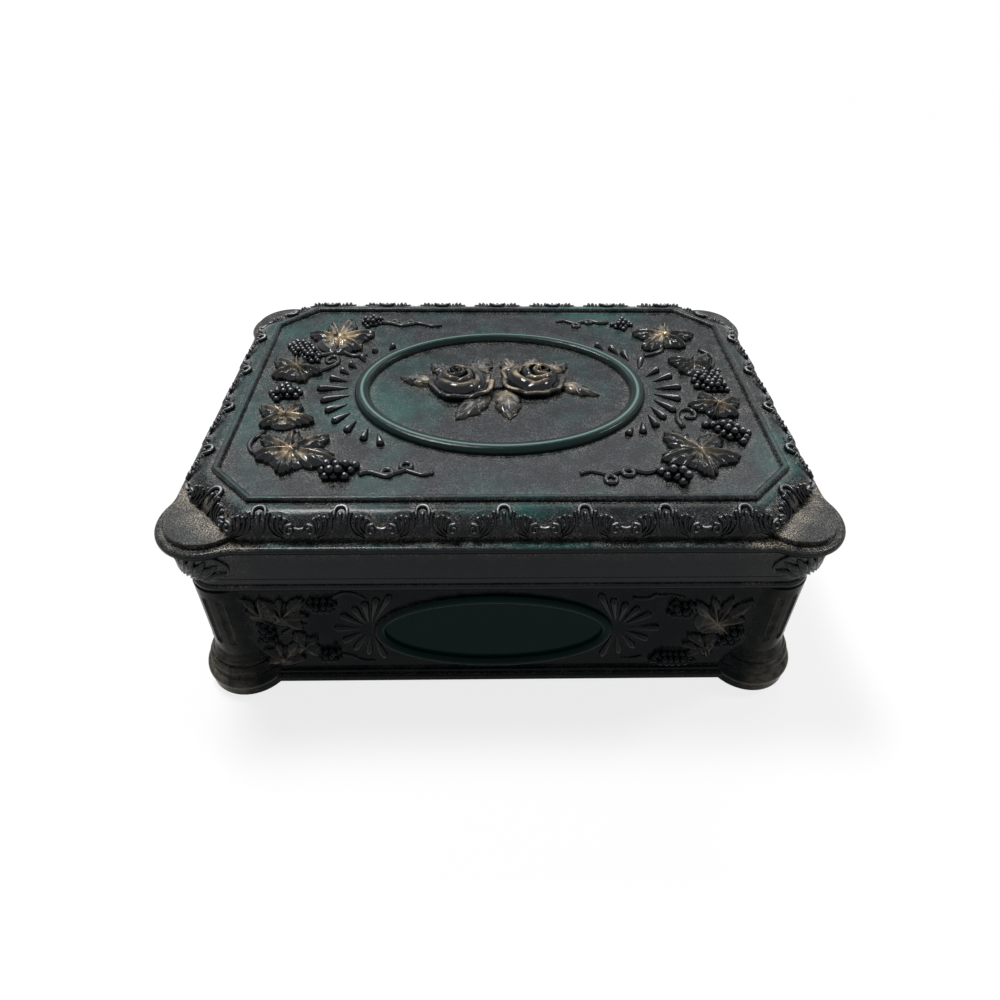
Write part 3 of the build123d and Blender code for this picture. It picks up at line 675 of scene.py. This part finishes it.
# Spray of two roses in the lid's oval. Domed petals close round a bud that turns outward,
# broad ones roll over like lips below it, and toothed leaves lie out to all sides.
closed_petal = ((1.0, 0.0), (1.07, 0.25), (1.04, 0.5), (0.93, 0.76), (0.79, 0.94), (0.68, 1.0),
                (0.61, 0.96), (0.57, 0.8), (0.55, 0.5))
rolled_petal = ((0.5, 0.9), (0.62, 0.66), (0.74, 0.58), (0.84, 0.7), (0.92, 0.93), (0.98, 1.0),
                (1.035, 0.93), (1.06, 0.7), (1.04, 0.35), (1.0, 0.0))


def petal(centre, turn, spread, reach, height, outline, gold, lay):
    """A petal over an arc of the flower, shaped by its outline from the ground over the rim."""
    rolled = outline is rolled_petal

    def shape(t, s):
        last = len(outline) - 1
        step = min(int(t * last + 0.001), last - 1)
        share = t * last - step
        out = outline[step][0] * (1 - share) + outline[step + 1][0] * share
        up = outline[step][1] * (1 - share) + outline[step + 1][1] * share
        angle = radians(turn + spread * s)
        end = abs(s) ** 3
        if rolled:
            radius = reach * (out - 0.14 * end + 0.035 * sin(6 * s + turn))
            level = height * up * (1 - 0.35 * end)
        else:
            radius = reach * (out - 0.07 * s + 0.03 * sin(5 * s + turn))
            level = height * up * (1 - 0.25 * end)
        worn = max(0.0, (up - 0.9) * 7.0)
        return centre[0] + radius * cos(angle), centre[1] + radius * sin(angle), level, gold * min(1.0, worn)

    if rolled:
        return carved_sheet(18, 14, shape, lay)
    return carved_sheet(16, 14, lambda t, s: shape(1 - t, s), lay)


def rose(centre, opening, lips, closed, lay):
    """The rolled lips first, then rings of closed petals that drift towards the opening."""
    petals = []
    for turn, spread, reach, height, gold in lips:
        petals.append(petal(centre, turn, spread, reach, height, rolled_petal, gold, lay))
    for drift, turns, spread, reach, height, gold in closed:
        middle = (centre[0] + drift * (opening[0] - centre[0]), centre[1] + drift * (opening[1] - centre[1]))
        for step, turn in enumerate(turns):
            petals.append(petal(middle, turn, spread, reach, height - 0.2 * step, closed_petal, gold, lay))
    return petals


resin_rose = moulded_resin("resin_rose", (0.003, 0.006, 0.005), film=0.002, gloss=0.09, shine=0.5,
                           pitting=0.02, dust=0.03, rubbed=True)
left_lips = (
    (205, 46, 12.4, 3.0, 0.1), (262, 40, 12.8, 3.4, 0.3),
    (322, 42, 14.2, 3.8, 1.0), (20, 32, 12.2, 3.2, 0.7))
left_closed = (
    (0.0, (265, 25, 145), 80, 9.8, 5.2, 0.25), (0.5, (215, 335, 95), 78, 7.0, 6.1, 0.3),
    (0.9, (300, 120), 105, 4.4, 6.4, 0.2), (1.0, (200, 20), 110, 2.3, 6.5, 0.15))
right_lips = (
    (222, 42, 13.4, 3.6, 1.0), (275, 40, 12.8, 3.2, 0.4),
    (330, 42, 13.2, 3.2, 0.3), (165, 32, 12.6, 3.4, 0.9))
right_closed = (
    (0.0, (205, 325, 85), 80, 9.9, 5.1, 0.6), (0.55, (160, 280, 40), 78, 7.2, 6.0, 0.7),
    (0.9, (230, 50), 105, 4.7, 6.3, 0.5), (1.0, (140, 320), 110, 2.5, 6.5, 0.4))
petals = rose((-16.0, 3.0), (-18.0, 5.5), left_lips, left_closed, on_panel)
petals += rose((13.5, 5.5), (18.0, 6.4), right_lips, right_closed, on_panel)
join_as("roses", petals, "lid", resin_rose)

spray = []
for base, tip, width, gold in (
        ((-27, 3.0), (-41, 7.5), 7.5, 0.6), ((-5, -5), (-17.5, -22), 10.5, 0.5),
        ((2.5, -2), (3.6, -22), 10.5, 0.9), ((24, 2), (40, -5.5), 7.5, 0.7),
        ((-11, 9), (-4, 23), 9.5, 0.5), ((7, 9), (2, 23), 8.5, 1.0),
        ((-20, 9), (-29, 18), 8.0, 0.4), ((20, 11), (29, 18), 7.5, 0.6), ((12, 12), (16, 23), 8.0, 0.8)):
    spray.append(leaf_lobe(base, tip, width, 2.6, gold, on_panel))
for points in (((-16, 2), (-24, 3), (-31, 4)), ((15, 4), (22, 3), (28, 0)), ((-12, 0), (-2, -1), (8, 2))):
    spray.append(tendril(points, 1.0, on_panel, ends=0.8))
join_as("rose_leaves", spray, "lid", resin_carved)

# Scroll border on the lid's cushion edge. One palmette unit, a small arch with a crown,
# lobes and a volute to each side, repeats all the way round and is pressed with the lid.
panel_half = (corner_x, corner_y)
panel_cut = 15.5
edge_centre_out = 2.9
edge_centre_level = 80.75
edge_radius = 8.1
turn_run = 7.1
slant_run = 2 ** 0.5 * panel_cut
front_run = panel_half[0] - panel_cut
side_start = front_run + 2 * turn_run + slant_run


def on_cushion_edge(s, v, h):
    """A point s along the border from the middle of the front, and -v down over its curve."""
    arc = -v / edge_radius
    out = edge_centre_out + (edge_radius + h) * sin(arc)
    level = edge_centre_level + (edge_radius + h) * cos(arc)
    if s <= front_run:
        return Vector((s, -panel_half[1] - out, level))
    if s <= front_run + turn_run:
        angle = radians(45) * (s - front_run) / turn_run
        return Vector((front_run + out * sin(angle), -panel_half[1] - out * cos(angle), level))
    if s <= front_run + turn_run + slant_run:
        share = (s - front_run - turn_run) / slant_run
        return Vector((front_run + panel_cut * share + out * sin(radians(45)),
                       -panel_half[1] + panel_cut * share - out * cos(radians(45)), level))
    if s <= side_start:
        angle = radians(45) * (1 + (s - side_start + turn_run) / turn_run)
        return Vector((panel_half[0] + out * sin(angle), panel_cut - panel_half[1] - out * cos(angle),
                       level))
    return Vector((panel_half[0] + out, panel_cut - panel_half[1] + s - side_start, level))


def flat(u, v, h):
    """The flat setting-out sheet on which a repeat is modelled before it is copied."""
    return Vector((u, v, h))


def corner_copy(pattern, lay, side_x, side_y):
    """A copy of a flat repeat, laid in place and mirrored to one corner of the lid."""
    unit = copy_of(pattern)
    for point in unit.data.vertices:
        place = lay(*(point.co / mm))
        point.co = Vector((side_x * place.x, -side_y * place.y, place.z)) * mm
    if side_x * side_y > 0:
        unit.data.flip_normals()
    return unit


def mirrored(points, side):
    """Points of a pattern as they are, or to the other side of its middle."""
    return [(side * u, v) for u, v in points]


def scroll_rib(side, points, girth):
    """A rib of the leaf with a fat rounded tip above, running thin round the volute."""
    across = mirrored(points, side)
    tip = Vector(across[0])
    towards = tip + (Vector(across[1]) - tip).normalized() * 2.6
    return [tendril(across, 0.7 * girth, flat, ends=0.45, steps=3),
            drop(tip, towards, 1.15 * girth, 1.5 * girth, flat)]


volute = (9.9, -8.6)
leaf_ribs = (
    (((3.5, -3.0), (2.8, -4.6), (2.7, -6.6), (3.7, -9.0), (5.5, -10.9), (7.8, -11.6)), 0.72),
    (((5.3, -4.3), (4.6, -5.6), (4.6, -7.4), (5.6, -9.4), (7.4, -10.6)), 0.55),
    (((7.1, -4.2), (6.2, -5.4), (6.0, -7.2), (6.6, -8.9), (7.8, -9.8)), 0.75),
    (((8.9, -5.0), (7.9, -6.0), (7.4, -7.4), (7.7, -8.7)), 0.8),
)
unit_parts = [
    tendril(((-2.0, -4.8), (-2.3, -3.1), (-1.6, -1.3), (0, -0.8), (1.6, -1.3), (2.3, -3.1), (2.0, -4.8)),
            0.72, flat, ends=1.0, steps=3),
    drop((0, -3.0), (0, -8.0), 0.75, 1.0, flat),
    tendril(((11.7, -7.9), (12.6, -8.3), (14.0, -8.3), (14.9, -7.9)), 0.62, flat, ends=1.0, steps=2),
]
for side in (-1, 1):
    spiral = []
    for step in range(9):
        angle = radians(60 + 52 * step)
        radius = 1.95 * (1 - 0.085 * step)
        spiral.append((side * (volute[0] + radius * cos(angle)), volute[1] + radius * sin(angle)))
    unit_parts.append(tendril(spiral, 0.66, flat, ends=0.8, steps=3))
    for points, girth in leaf_ribs:
        unit_parts += scroll_rib(side, points, girth)
# Border resin: the pale upper edges of the ribs are partly wear, partly painted highlight
resin_border = moulded_resin("resin_border", carved_green, film=0.0, gloss=0.1, shine=0.5, pitting=0.01,
                             dust=0.0, wear_and_highlight_tops=0.55, top_from=0.78)
palmette = join_as("palmette", unit_parts, "lid", resin_border)
unit_pitch = 26.6
last_front_seat = 79.6
unit_relief = 1.4
unit_lift = 0.35
side_middle = side_start + panel_half[1] - panel_cut
half_seats = [unit_pitch, 2 * unit_pitch, last_front_seat, front_run + turn_run + slant_run / 2,
              side_middle - 1.5 * unit_pitch, side_middle - 0.5 * unit_pitch]
all_corners = ((1, -1), (-1, -1), (1, 1), (-1, 1))
border_units = []
for side_x, side_y in all_corners:
    seats = [0.0] + half_seats if side_x > 0 else half_seats
    for seat in seats:
        border_units.append(corner_copy(
            palmette, lambda u, v, h: on_cushion_edge(u + seat, v, unit_relief * h + unit_lift),
            side_x, side_y))
join_as("lid_border", border_units, "lid", resin_border)
bpy.data.objects.remove(palmette)

# Acanthus on the lid's band. A spray of ribbed lobes with a scroll over it wraps each rounded
# corner, moulded in one with the lid.
band_radius = 12.8


def on_band(u, v, h):
    """A point u along the lid's band from the middle of its front right corner, at height v."""
    quarter = band_radius * pi / 4
    reach = band_radius + h
    if abs(u) <= quarter:
        angle = u / band_radius - pi / 4
        return Vector((panel_half[0] + reach * cos(angle), reach * sin(angle) - panel_half[1], v))
    if u < 0:
        return Vector((panel_half[0] + u + quarter, -panel_half[1] - reach, v))
    return Vector((panel_half[0] + reach, -panel_half[1] + u - quarter, v))


spray_parts = [leaf_lobe((0, 64.6), (0, 76.2), 3.4, 1.4, 0.0, flat)]
for side in (-1, 1):
    for base, tip, width in (((1.2, 64.6), (3.9, 75.6), 3.0), ((2.6, 64.6), (7.4, 74.6), 3.2),
                             ((4.2, 64.5), (11.2, 73.2), 3.4), ((6.0, 64.5), (15.0, 71.4), 3.6),
                             ((8.5, 64.6), (17.6, 67.4), 3.4)):
        root, end = mirrored((base, tip), side)
        spray_parts.append(leaf_lobe(root, end, width, 1.4, 0.0, flat))
    scroll = ((7, 75.9), (10.6, 75.7), (14.6, 74.2), (17.6, 71.4), (18.2, 68.6), (16.6, 66.4), (14.4, 66.6))
    spray_parts.append(tendril(mirrored(scroll, side), 0.7, flat))
acanthus = join_as("acanthus", spray_parts, "lid", resin_black)
corner_sprays = [corner_copy(acanthus, on_band, side_x, side_y) for side_x, side_y in all_corners]
join_as("lid_corner_leaves", corner_sprays, "lid", resin_black)
bpy.data.objects.remove(acanthus)

# Carving on the walls. Each wall repeats the lid's vine in lower relief, with a fan of drops
# at both ends of its oval, moulded in one with the base.
wall_out = 9.0


def on_front(u, v, h):
    """A point on the front wall, u to the right and v up from the table."""
    return Vector((u, -corner_y - wall_out - h, v))


def on_rear(u, v, h):
    """A point on the rear wall as seen from behind."""
    return Vector((-u, corner_y + wall_out + h, v))


def on_right(u, v, h):
    """A point on the right wall as seen from outside."""
    return Vector((corner_x + wall_out + h, u, v))


def on_left(u, v, h):
    """A point on the left wall as seen from outside."""
    return Vector((-corner_x - wall_out - h, -u, v))


def fan_drops(heads, meet, lay):
    """Drops whose tails run most of the way towards one point beside the oval."""
    tails = [Vector(head) + (Vector(meet) - Vector(head)) * 0.74 for head in heads]
    return [drop(head, tail, 1.45, 1.5, lay) for head, tail in zip(heads, tails)]


# Darker, less reflective copies of the carved and black resins for the walls: painted shade. Their pale tops
# are partly wear, partly painted highlight
resin_carved_in_shade = moulded_resin("resin_carved_in_shade", shaded_copy_green, film=0.004, gloss=0.12, shine=0.2,
                                  pitting=0.02, dust=0.05, rubbed=True, wear_and_highlight_tops=0.1)
resin_black_in_shade = moulded_resin("resin_black_in_shade", shaded_copy_green, film=0.002, gloss=0.13, shine=0.12,
                                 pitting=0.01, dust=0.0, wear_and_highlight_tops=0.15)

front_leaves = (
    ((-80, 41), ((-86, 50), (-80, 51), (-71, 51), (-70, 40), (-73, 33), (-83, 35)), 0.1),
    ((-87, 42), ((-93, 51), (-93, 44), (-87, 51)), 0.0),
    ((-83, 16), ((-91, 21), (-85, 25), (-76, 26), (-75, 15), (-91, 13)), 0.3),
    ((-74, 24), ((-77, 32), (-69, 28), (-69, 17), (-78, 19)), 0.1),
    ((80, 36), ((71, 37), (70, 48), (76, 50), (84, 50), (92, 48), (91, 37), (88, 27)), 0.1),
    ((78, 22), ((70, 28), (69, 22), (72, 15), (80, 14), (81, 30)), 0.1),
)
front_bunches = (
    (((-91, 25), (-84, 26), (-84, 38), (-90, 38)), 2.5),
    (((-71, 43), (-59, 45), (-60, 50), (-70, 50)), 2.5),
    (((-70, 14), (-61, 15), (-62, 22), (-70, 20)), 2.4),
    (((60, 41), (70, 38), (70, 46), (61, 48)), 2.6),
    (((57, 11.5), (76, 11.5), (75, 17), (59, 17)), 2.5),
    (((82, 22), (90, 22), (91, 34), (84, 36)), 2.7),
)
front_stems = (
    ((-62, 48), (-59, 52), (-56, 53), (-52, 52.5), (-49, 49)),
    ((-62, 17), (-57, 16), (-54, 12), (-49, 12.5)),
    ((47, 49), (53, 48), (55, 51), (57, 50), (61, 51), (66, 49)),
    ((55, 14), (51, 12), (47, 13)),
    ((-82, 30), (-78, 33), (-74, 36), (-72, 35)), ((82, 30), (76, 31), (72, 33)),
)
front_drops = (
    (((-40, 51.5), (-45, 50), (-49.5, 48), (-54, 45), (-59, 41), (-62.5, 33), (-60, 25), (-56, 20),
      (-51, 17), (-45, 14.5)), (-49, 32)),
    (((35, 51.5), (40, 49), (45, 46.5), (50, 44), (55, 40.5), (59.5, 32), (56, 25), (51, 20),
      (45.5, 16.5), (39, 14.5)), (43, 31.5)),
)
parts = [vine_leaf(hub, tips, 2.3, gold, on_front) for hub, tips, gold in front_leaves]
balls = []
for number, (corner_points, size) in enumerate(front_bunches):
    balls += grape_bunch(corner_points, size, on_front, 31 + number)
for points in front_stems:
    parts.append(tendril(points, 0.7, on_front))
for heads, meet in front_drops:
    parts += fan_drops(heads, meet, on_front)
join_as("front_carving", parts, "base", resin_carved_in_shade)
finish_balls("front_grapes", balls, "base", resin_black_in_shade)

parts = []
balls = []
for side in (-1, 1):
    for hub, tips in (((83, 41), ((92, 50), (84, 52), (78, 47), (79, 37), (91, 37))),
                      ((84, 16), ((92, 22), (85, 26), (76, 25), (74, 15), (91, 12))),
                      ((68, 22), ((76, 29), (69, 33), (61, 29), (60, 20), (68, 13)))):
        parts.append(vine_leaf(mirrored([hub], side)[0], mirrored(tips, side), 2.3, 0.1, on_rear))
    bunch = ((85, 26), (92, 27), (91, 36), (84, 35))
    balls += grape_bunch(mirrored(bunch, side), 2.5, on_rear, 51 + side)
    parts.append(tendril(mirrored(((74, 35), (68, 37), (60, 36), (54, 39)), side), 0.7, on_rear))
    heads = ((42, 51), (50, 40.5), (56, 37), (60, 31), (57, 24), (53, 19), (48, 16), (42, 13.5))
    parts += fan_drops(mirrored(heads, side), (side * 46, 31), on_rear)
join_as("rear_carving", parts, "base", resin_carved_in_shade)
finish_balls("rear_grapes", balls, "base", resin_black_in_shade)

for wall, lay in (("right", on_right), ("left", on_left)):
    parts = []
    balls = []
    for side in (-1, 1):
        for hub, tips in (((49, 41), ((57, 50), (49, 52), (41, 49), (40, 40), (49, 33), (57, 38))),
                          ((49, 17), ((57, 21), (50, 27), (41, 24), (41, 14), (56, 12)))):
            parts.append(vine_leaf(mirrored([hub], side)[0], mirrored(tips, side), 2.2, 0.15, lay))
        bunch = ((50, 25), (57, 26), (57, 35), (51, 34))
        balls += grape_bunch(mirrored(bunch, side), 2.4, lay, 61 + side)
        for stem in (((38, 50), (33, 52), (28, 51), (23, 53)), ((40, 12), (34, 11.5), (28, 12.5), (22, 11))):
            parts.append(tendril(mirrored(stem, side), 0.6, lay))
        heads = ((26, 49), (31.5, 46), (36, 41.5), (38.5, 36), (39.5, 30), (38, 24), (34.5, 19), (29, 15.5))
        parts += fan_drops(mirrored(heads, side), (side * 26, 31), lay)
    join_as(wall + "_carving", parts, "base", resin_carved_in_shade)
    finish_balls(wall + "_grapes", balls, "base", resin_black_in_shade)

# Wall lining. A strip of card covered in crimson velvet is glued round the inside of the base,
# its top edge rolled over and a little below the rim.
floor_level = 8.0
lining_out = 5.0
lining_rises = (6.0, 12.0, 12.0, 12.0, 3.3)
lining_thickness = 1.4


def velvet_cloth(name, colour):
    """Short velvet pile: brushed patches that catch the light, and a fine nap."""
    material, tree = new_finish(name)
    place = add_node(tree, "ShaderNodeTexCoord").outputs["Object"]
    brushed = add_node(tree, "ShaderNodeTexNoise",
                       {"Vector": place, "Scale": 45.0, "Detail": 3.0, "Distortion": 0.8})
    nap = clouds(tree, place, 2600.0, 2.0, 0.5)
    tone = add_node(tree, "ShaderNodeValToRGB", {"Fac": brushed.outputs["Fac"]})
    for stop, position, strength in zip(tone.color_ramp.elements, (0.35, 0.68), (0.55, 1.25)):
        stop.position = position
        stop.color = (*(channel * strength for channel in colour), 1)
    pile = fade(tree, nap, 0.0, 1.0, 0.7, 1.2)
    shaded = add_node(tree, "ShaderNodeVectorMath", {0: tone.outputs["Color"], "Scale": pile},
                      operation="SCALE")
    bump = add_node(tree, "ShaderNodeBump", {"Height": nap, "Strength": 0.6, "Distance": 0.25 * mm})
    cloth = add_node(tree, "ShaderNodeBsdfPrincipled",
                     {"Base Color": shaded.outputs[0], "Roughness": 0.95, "Normal": bump.outputs["Normal"],
                      "Sheen Weight": 0.7, "Sheen Roughness": 0.35, "Sheen Tint": (1.0, 0.5, 0.5, 1),
                      "Specular IOR Level": 0.2})
    add_node(tree, "ShaderNodeOutputMaterial", {"Surface": cloth.outputs[0]})
    return material


crimson_velvet = velvet_cloth("crimson_velvet", (0.16, 0.012, 0.02))
bpy.ops.object.select_all(action="DESELECT")
bpy.ops.mesh.primitive_plane_add(size=2 * mm)
wall_lining = bpy.context.object
edit_all()
bpy.ops.transform.resize(value=(corner_x + lining_out, corner_y + lining_out, 1))
bpy.ops.mesh.bevel(offset=lining_out * mm, segments=6, affect="VERTICES")
bpy.ops.mesh.delete(type="ONLY_FACE")
bpy.ops.mesh.select_all(action="SELECT")
bpy.ops.transform.translate(value=(0, 0, floor_level * mm))
for rise in lining_rises:
    bpy.ops.mesh.extrude_edges_move(TRANSFORM_OT_translate={"value": (0, 0, rise * mm)})
bpy.ops.object.mode_set(mode="OBJECT")
thick = wall_lining.modifiers.new("card", "SOLIDIFY")
thick.thickness = lining_thickness * mm
thick.offset = 0
soften = wall_lining.modifiers.new("rolled", "BEVEL")
soften.width = 0.6 * mm
soften.segments = 3
soften.limit_method = "ANGLE"
for modifier in ("card", "rolled"):
    bpy.ops.object.modifier_apply(modifier=modifier)
edit_all()
bpy.ops.mesh.normals_make_consistent(inside=False)
bpy.ops.object.mode_set(mode="OBJECT")
bpy.ops.object.shade_smooth_by_angle(angle=radians(40))
wall_lining.name = "wall_lining"
wall_lining.data.materials.append(crimson_velvet)
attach(wall_lining, "base")
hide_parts("front_wall_lining", "rear_wall_lining", "left_wall_lining", "right_wall_lining")

# Pads. A thin card covered in the same velvet lies on the floor, and a stuffed one is glued
# under the lid, swollen by its filling.


def pad(name, edge, low, high, shoulder, crown, upward):
    """A covered pad inside an outline, full in the middle and rounded over at its edge."""
    bpy.ops.object.select_all(action="DESELECT")
    bpy.ops.mesh.primitive_grid_add(x_subdivisions=96, y_subdivisions=64, size=2)
    piece = bpy.context.object
    edit_all()
    bpy.ops.mesh.extrude_region_move(TRANSFORM_OT_translate={"value": (0, 0, 1)})
    bpy.ops.object.mode_set(mode="OBJECT")
    for point in piece.data.vertices:
        ring = max(abs(point.co.x), abs(point.co.y))
        if ring < 1e-6:
            x = y = 0.0
            inset = edge(1.0, 0.0)
        else:
            aim = Vector((point.co.x * 1.5, point.co.y)).normalized()
            far = edge(aim.x, aim.y)
            x, y = aim.x * far * ring, aim.y * far * ring
            inset = (1 - ring) * far
        level = 0.0
        if point.co.z > 0.5:
            drop_off = max(0.0, 1 - inset / shoulder)
            puff = 1 - crown * ring ** 2
            ripple = 0.06 * noise.noise(Vector((x, y, 0)) * 0.07)
            ripple += 0.02 * noise.noise(Vector((x, y, 5)) * 0.3)
            level = (puff + ripple * (1 - drop_off)) * (1 - drop_off ** 2) ** 0.5 * 0.94
        height = low + (high - low) * level if upward else high - (high - low) * level
        point.co = Vector((x, y, height)) * mm
    edit_all()
    bpy.ops.mesh.remove_doubles(threshold=0.02 * mm)
    bpy.ops.mesh.normals_make_consistent(inside=False)
    bpy.ops.object.mode_set(mode="OBJECT")
    bpy.ops.object.shade_smooth()
    piece.name = name
    piece.data.materials.append(crimson_velvet)
    return piece


def stuff(piece, pressure, cap):
    """Blow the cover up downwards as cloth held at its glued top, no point further than `cap`."""
    mesh = piece.data
    start = [point.co.copy() for point in mesh.vertices]
    lowest = min(point.z for point in start)
    held = piece.vertex_groups.new(name="held")
    glued = [index for index, point in enumerate(start) if point.z - lowest > 2.2 * mm]
    held.add(glued, 1.0, "REPLACE")
    cover = piece.modifiers.new("cover", "CLOTH")
    cover.settings.quality = 6
    cover.settings.mass = 0.2
    cover.settings.tension_stiffness = 8
    cover.settings.compression_stiffness = 8
    cover.settings.vertex_group_mass = "held"
    cover.settings.use_pressure = True
    cover.settings.uniform_pressure_force = pressure
    cover.settings.effector_weights.gravity = 0
    first_step, last_step = 1, 20
    cover.point_cache.frame_start = first_step
    cover.point_cache.frame_end = last_step
    for step in range(first_step, last_step + 1):
        bpy.context.scene.frame_set(step)
    bpy.ops.object.select_all(action="DESELECT")
    bpy.context.view_layer.objects.active = piece
    piece.select_set(True)
    bpy.ops.object.modifier_apply(modifier="cover")
    bpy.context.scene.frame_set(first_step)
    for point, before in zip(mesh.vertices, start):
        shift = point.co - before
        if shift.length > cap:
            point.co = before + shift.normalized() * cap
    piece.vertex_groups.clear()


floor_out = 4.1
lid_pad_out = 2.6
lid_pad_slant_out = 3.5


def floor_edge(x, y):
    """How far the floor pad reaches in a direction: a rectangle with rounded corners."""
    far = min((corner_x + floor_out) / max(abs(x), 1e-6), (corner_y + floor_out) / max(abs(y), 1e-6))
    for step in range(40):
        if hypot(max(0.0, abs(x) * far - corner_x), max(0.0, abs(y) * far - corner_y)) <= floor_out:
            break
        far -= 0.05
    return far


def lid_pad_edge(x, y):
    """How far the lid pad reaches in a direction: the panel's outline with its cut corners."""
    slant = corner_x + corner_y - panel_cut + lid_pad_slant_out
    return min((corner_x + lid_pad_out) / max(abs(x), 1e-6), (corner_y + lid_pad_out) / max(abs(y), 1e-6),
               slant / (abs(x) + abs(y)))


floor_cushion = pad("floor_cushion", floor_edge, low=floor_level, high=10.4, shoulder=1.6, crown=0.06,
                    upward=True)
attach(floor_cushion, "base")
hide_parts("floor_pad")
lid_cushion = pad("lid_cushion", lid_pad_edge, low=81.6, high=85.85, shoulder=4.5, crown=0.12,
                  upward=False)
stuff(lid_cushion, pressure=4.0, cap=0.7 * mm)
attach(lid_cushion, "lid")
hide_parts("lid_pad")

# Felt discs, cut from thick green felt and let into the undersides of the four feet.
felt_radius = 12.4
felt_low = 0.04
felt_high = 1.5
felt = velvet_cloth("green_felt", (0.02, 0.045, 0.03))
for end, x in (("left", -corner_x), ("right", corner_x)):
    for row, y in (("front", -corner_y), ("rear", corner_y)):
        bpy.ops.object.select_all(action="DESELECT")
        bpy.ops.mesh.primitive_cylinder_add(
            vertices=64, radius=felt_radius * mm, depth=(felt_high - felt_low) * mm,
            location=(x * mm, y * mm, (felt_low + felt_high) / 2 * mm))
        disc = bpy.context.object
        bpy.ops.object.transform_apply(location=True, rotation=False, scale=False)
        bpy.ops.object.mode_set(mode="EDIT")
        bpy.ops.mesh.select_all(action="DESELECT")
        bpy.ops.object.mode_set(mode="OBJECT")
        for edge in disc.data.edges:
            heights = [disc.data.vertices[index].co.z for index in edge.vertices]
            edge.select = abs(heights[0] - heights[1]) < 0.01 * mm
        bpy.ops.object.mode_set(mode="EDIT")
        bpy.ops.mesh.select_mode(type="EDGE")
        bpy.ops.mesh.bevel(offset=0.35 * mm, segments=3)
        bpy.ops.object.mode_set(mode="OBJECT")
        bpy.ops.object.shade_smooth_by_angle(angle=radians(40))
        disc.name = "felt_disc_" + row + "_" + end
        disc.data.materials.append(felt)
        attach(disc, "base")
        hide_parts("foot_pad_" + row + "_" + end)

# Hinges. Two brass butt hinges, dulled with age, turn on steel pins, and two slotted steel
# screws fix each leaf.
screw_radius = 1.68
screw_depth = 0.7
screw_inset = 1.7
slit_size = Vector((4, 0.8, 0.42))


def worn_metal(name, bright, tarnish, roughness):
    """Metal with darker tarnish in clouds and fine drawn scratches."""
    material, tree = new_finish(name)
    place = add_node(tree, "ShaderNodeTexCoord").outputs["Object"]
    stretched = add_node(tree, "ShaderNodeMapping", {"Vector": place, "Scale": (0.08, 1.0, 1.0)})
    scratch = clouds(tree, stretched.outputs[0], 2400.0, 3.0, 0.5)
    tarnished = fade(tree, clouds(tree, place, 220.0, 5.0, 0.65), 0.42, 0.66)
    bump = add_node(tree, "ShaderNodeBump", {"Height": scratch, "Strength": 0.25, "Distance": 0.05 * mm})
    metal = add_node(tree, "ShaderNodeBsdfPrincipled",
                     {"Base Color": over(tree, bright, tarnished, tarnish), "Metallic": 1.0,
                      "Roughness": fade(tree, scratch, 0.0, 1.0, roughness - 0.08, roughness + 0.18),
                      "Normal": bump.outputs["Normal"]})
    add_node(tree, "ShaderNodeOutputMaterial", {"Surface": metal.outputs[0]})
    return material


old_brass = worn_metal("old_brass", (0.36, 0.25, 0.11, 1), (0.09, 0.06, 0.03, 1), 0.38)
dull_steel = worn_metal("dull_steel", (0.45, 0.44, 0.42, 1), (0.2, 0.18, 0.16, 1), 0.38)
for side in ("left", "right"):
    for part, metal in (("body_leaf", old_brass), ("lid_leaf", old_brass), ("pin", dull_steel)):
        node[side + "_hinge_" + part].data.materials[0] = metal
    for owner in ("body", "lid"):
        low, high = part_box(side + "_hinge_" + owner + "_screws")
        heads = []
        for x in (low[0] + screw_inset * mm, high[0] - screw_inset * mm):
            z = (low[2] + high[2]) / 2
            bpy.ops.object.select_all(action="DESELECT")
            bpy.ops.mesh.primitive_cylinder_add(
                vertices=40, radius=screw_radius * mm, depth=screw_depth * mm,
                location=(x, high[1] - screw_depth / 2 * mm, z), rotation=(radians(-90), 0, 0))
            head = bpy.context.object
            bpy.ops.object.mode_set(mode="EDIT")
            bpy.ops.mesh.bevel(offset=0.12 * mm, segments=2)
            bpy.ops.object.mode_set(mode="OBJECT")
            bpy.ops.object.transform_apply(location=True, rotation=True, scale=True)
            for point in head.data.vertices:
                depth = (high[1] - point.co.y) / mm
                taper = 1 - 0.5 * max(0.0, depth - 0.1)
                point.co.x = x + (point.co.x - x) * taper
                point.co.z = z + (point.co.z - z) * taper
            bpy.ops.mesh.primitive_cube_add(size=1, location=(x, high[1], z))
            slit = bpy.context.object
            slit.scale = slit_size * mm
            slit.rotation_euler = (0, radians(35 if x > 0 else -20), 0)
            bpy.ops.object.transform_apply(location=True, rotation=True, scale=True)
            cut = head.modifiers.new("slot", "BOOLEAN")
            cut.object = slit
            cut.solver = "EXACT"
            bpy.ops.object.select_all(action="DESELECT")
            bpy.context.view_layer.objects.active = head
            head.select_set(True)
            bpy.ops.object.modifier_apply(modifier="slot")
            bpy.data.objects.remove(slit)
            bpy.ops.object.shade_smooth_by_angle(angle=radians(35))
            heads.append(head)
        screws = join_as(side + "_" + owner + "_screw_heads", heads, "base" if owner == "body" else "lid",
                         dull_steel)
        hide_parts(side + "_hinge_" + owner + "_screws")

# The two patterns, grape and drop, are taken away
for pattern in (grape_ball, drop_bead):
    bpy.data.objects.remove(pattern)
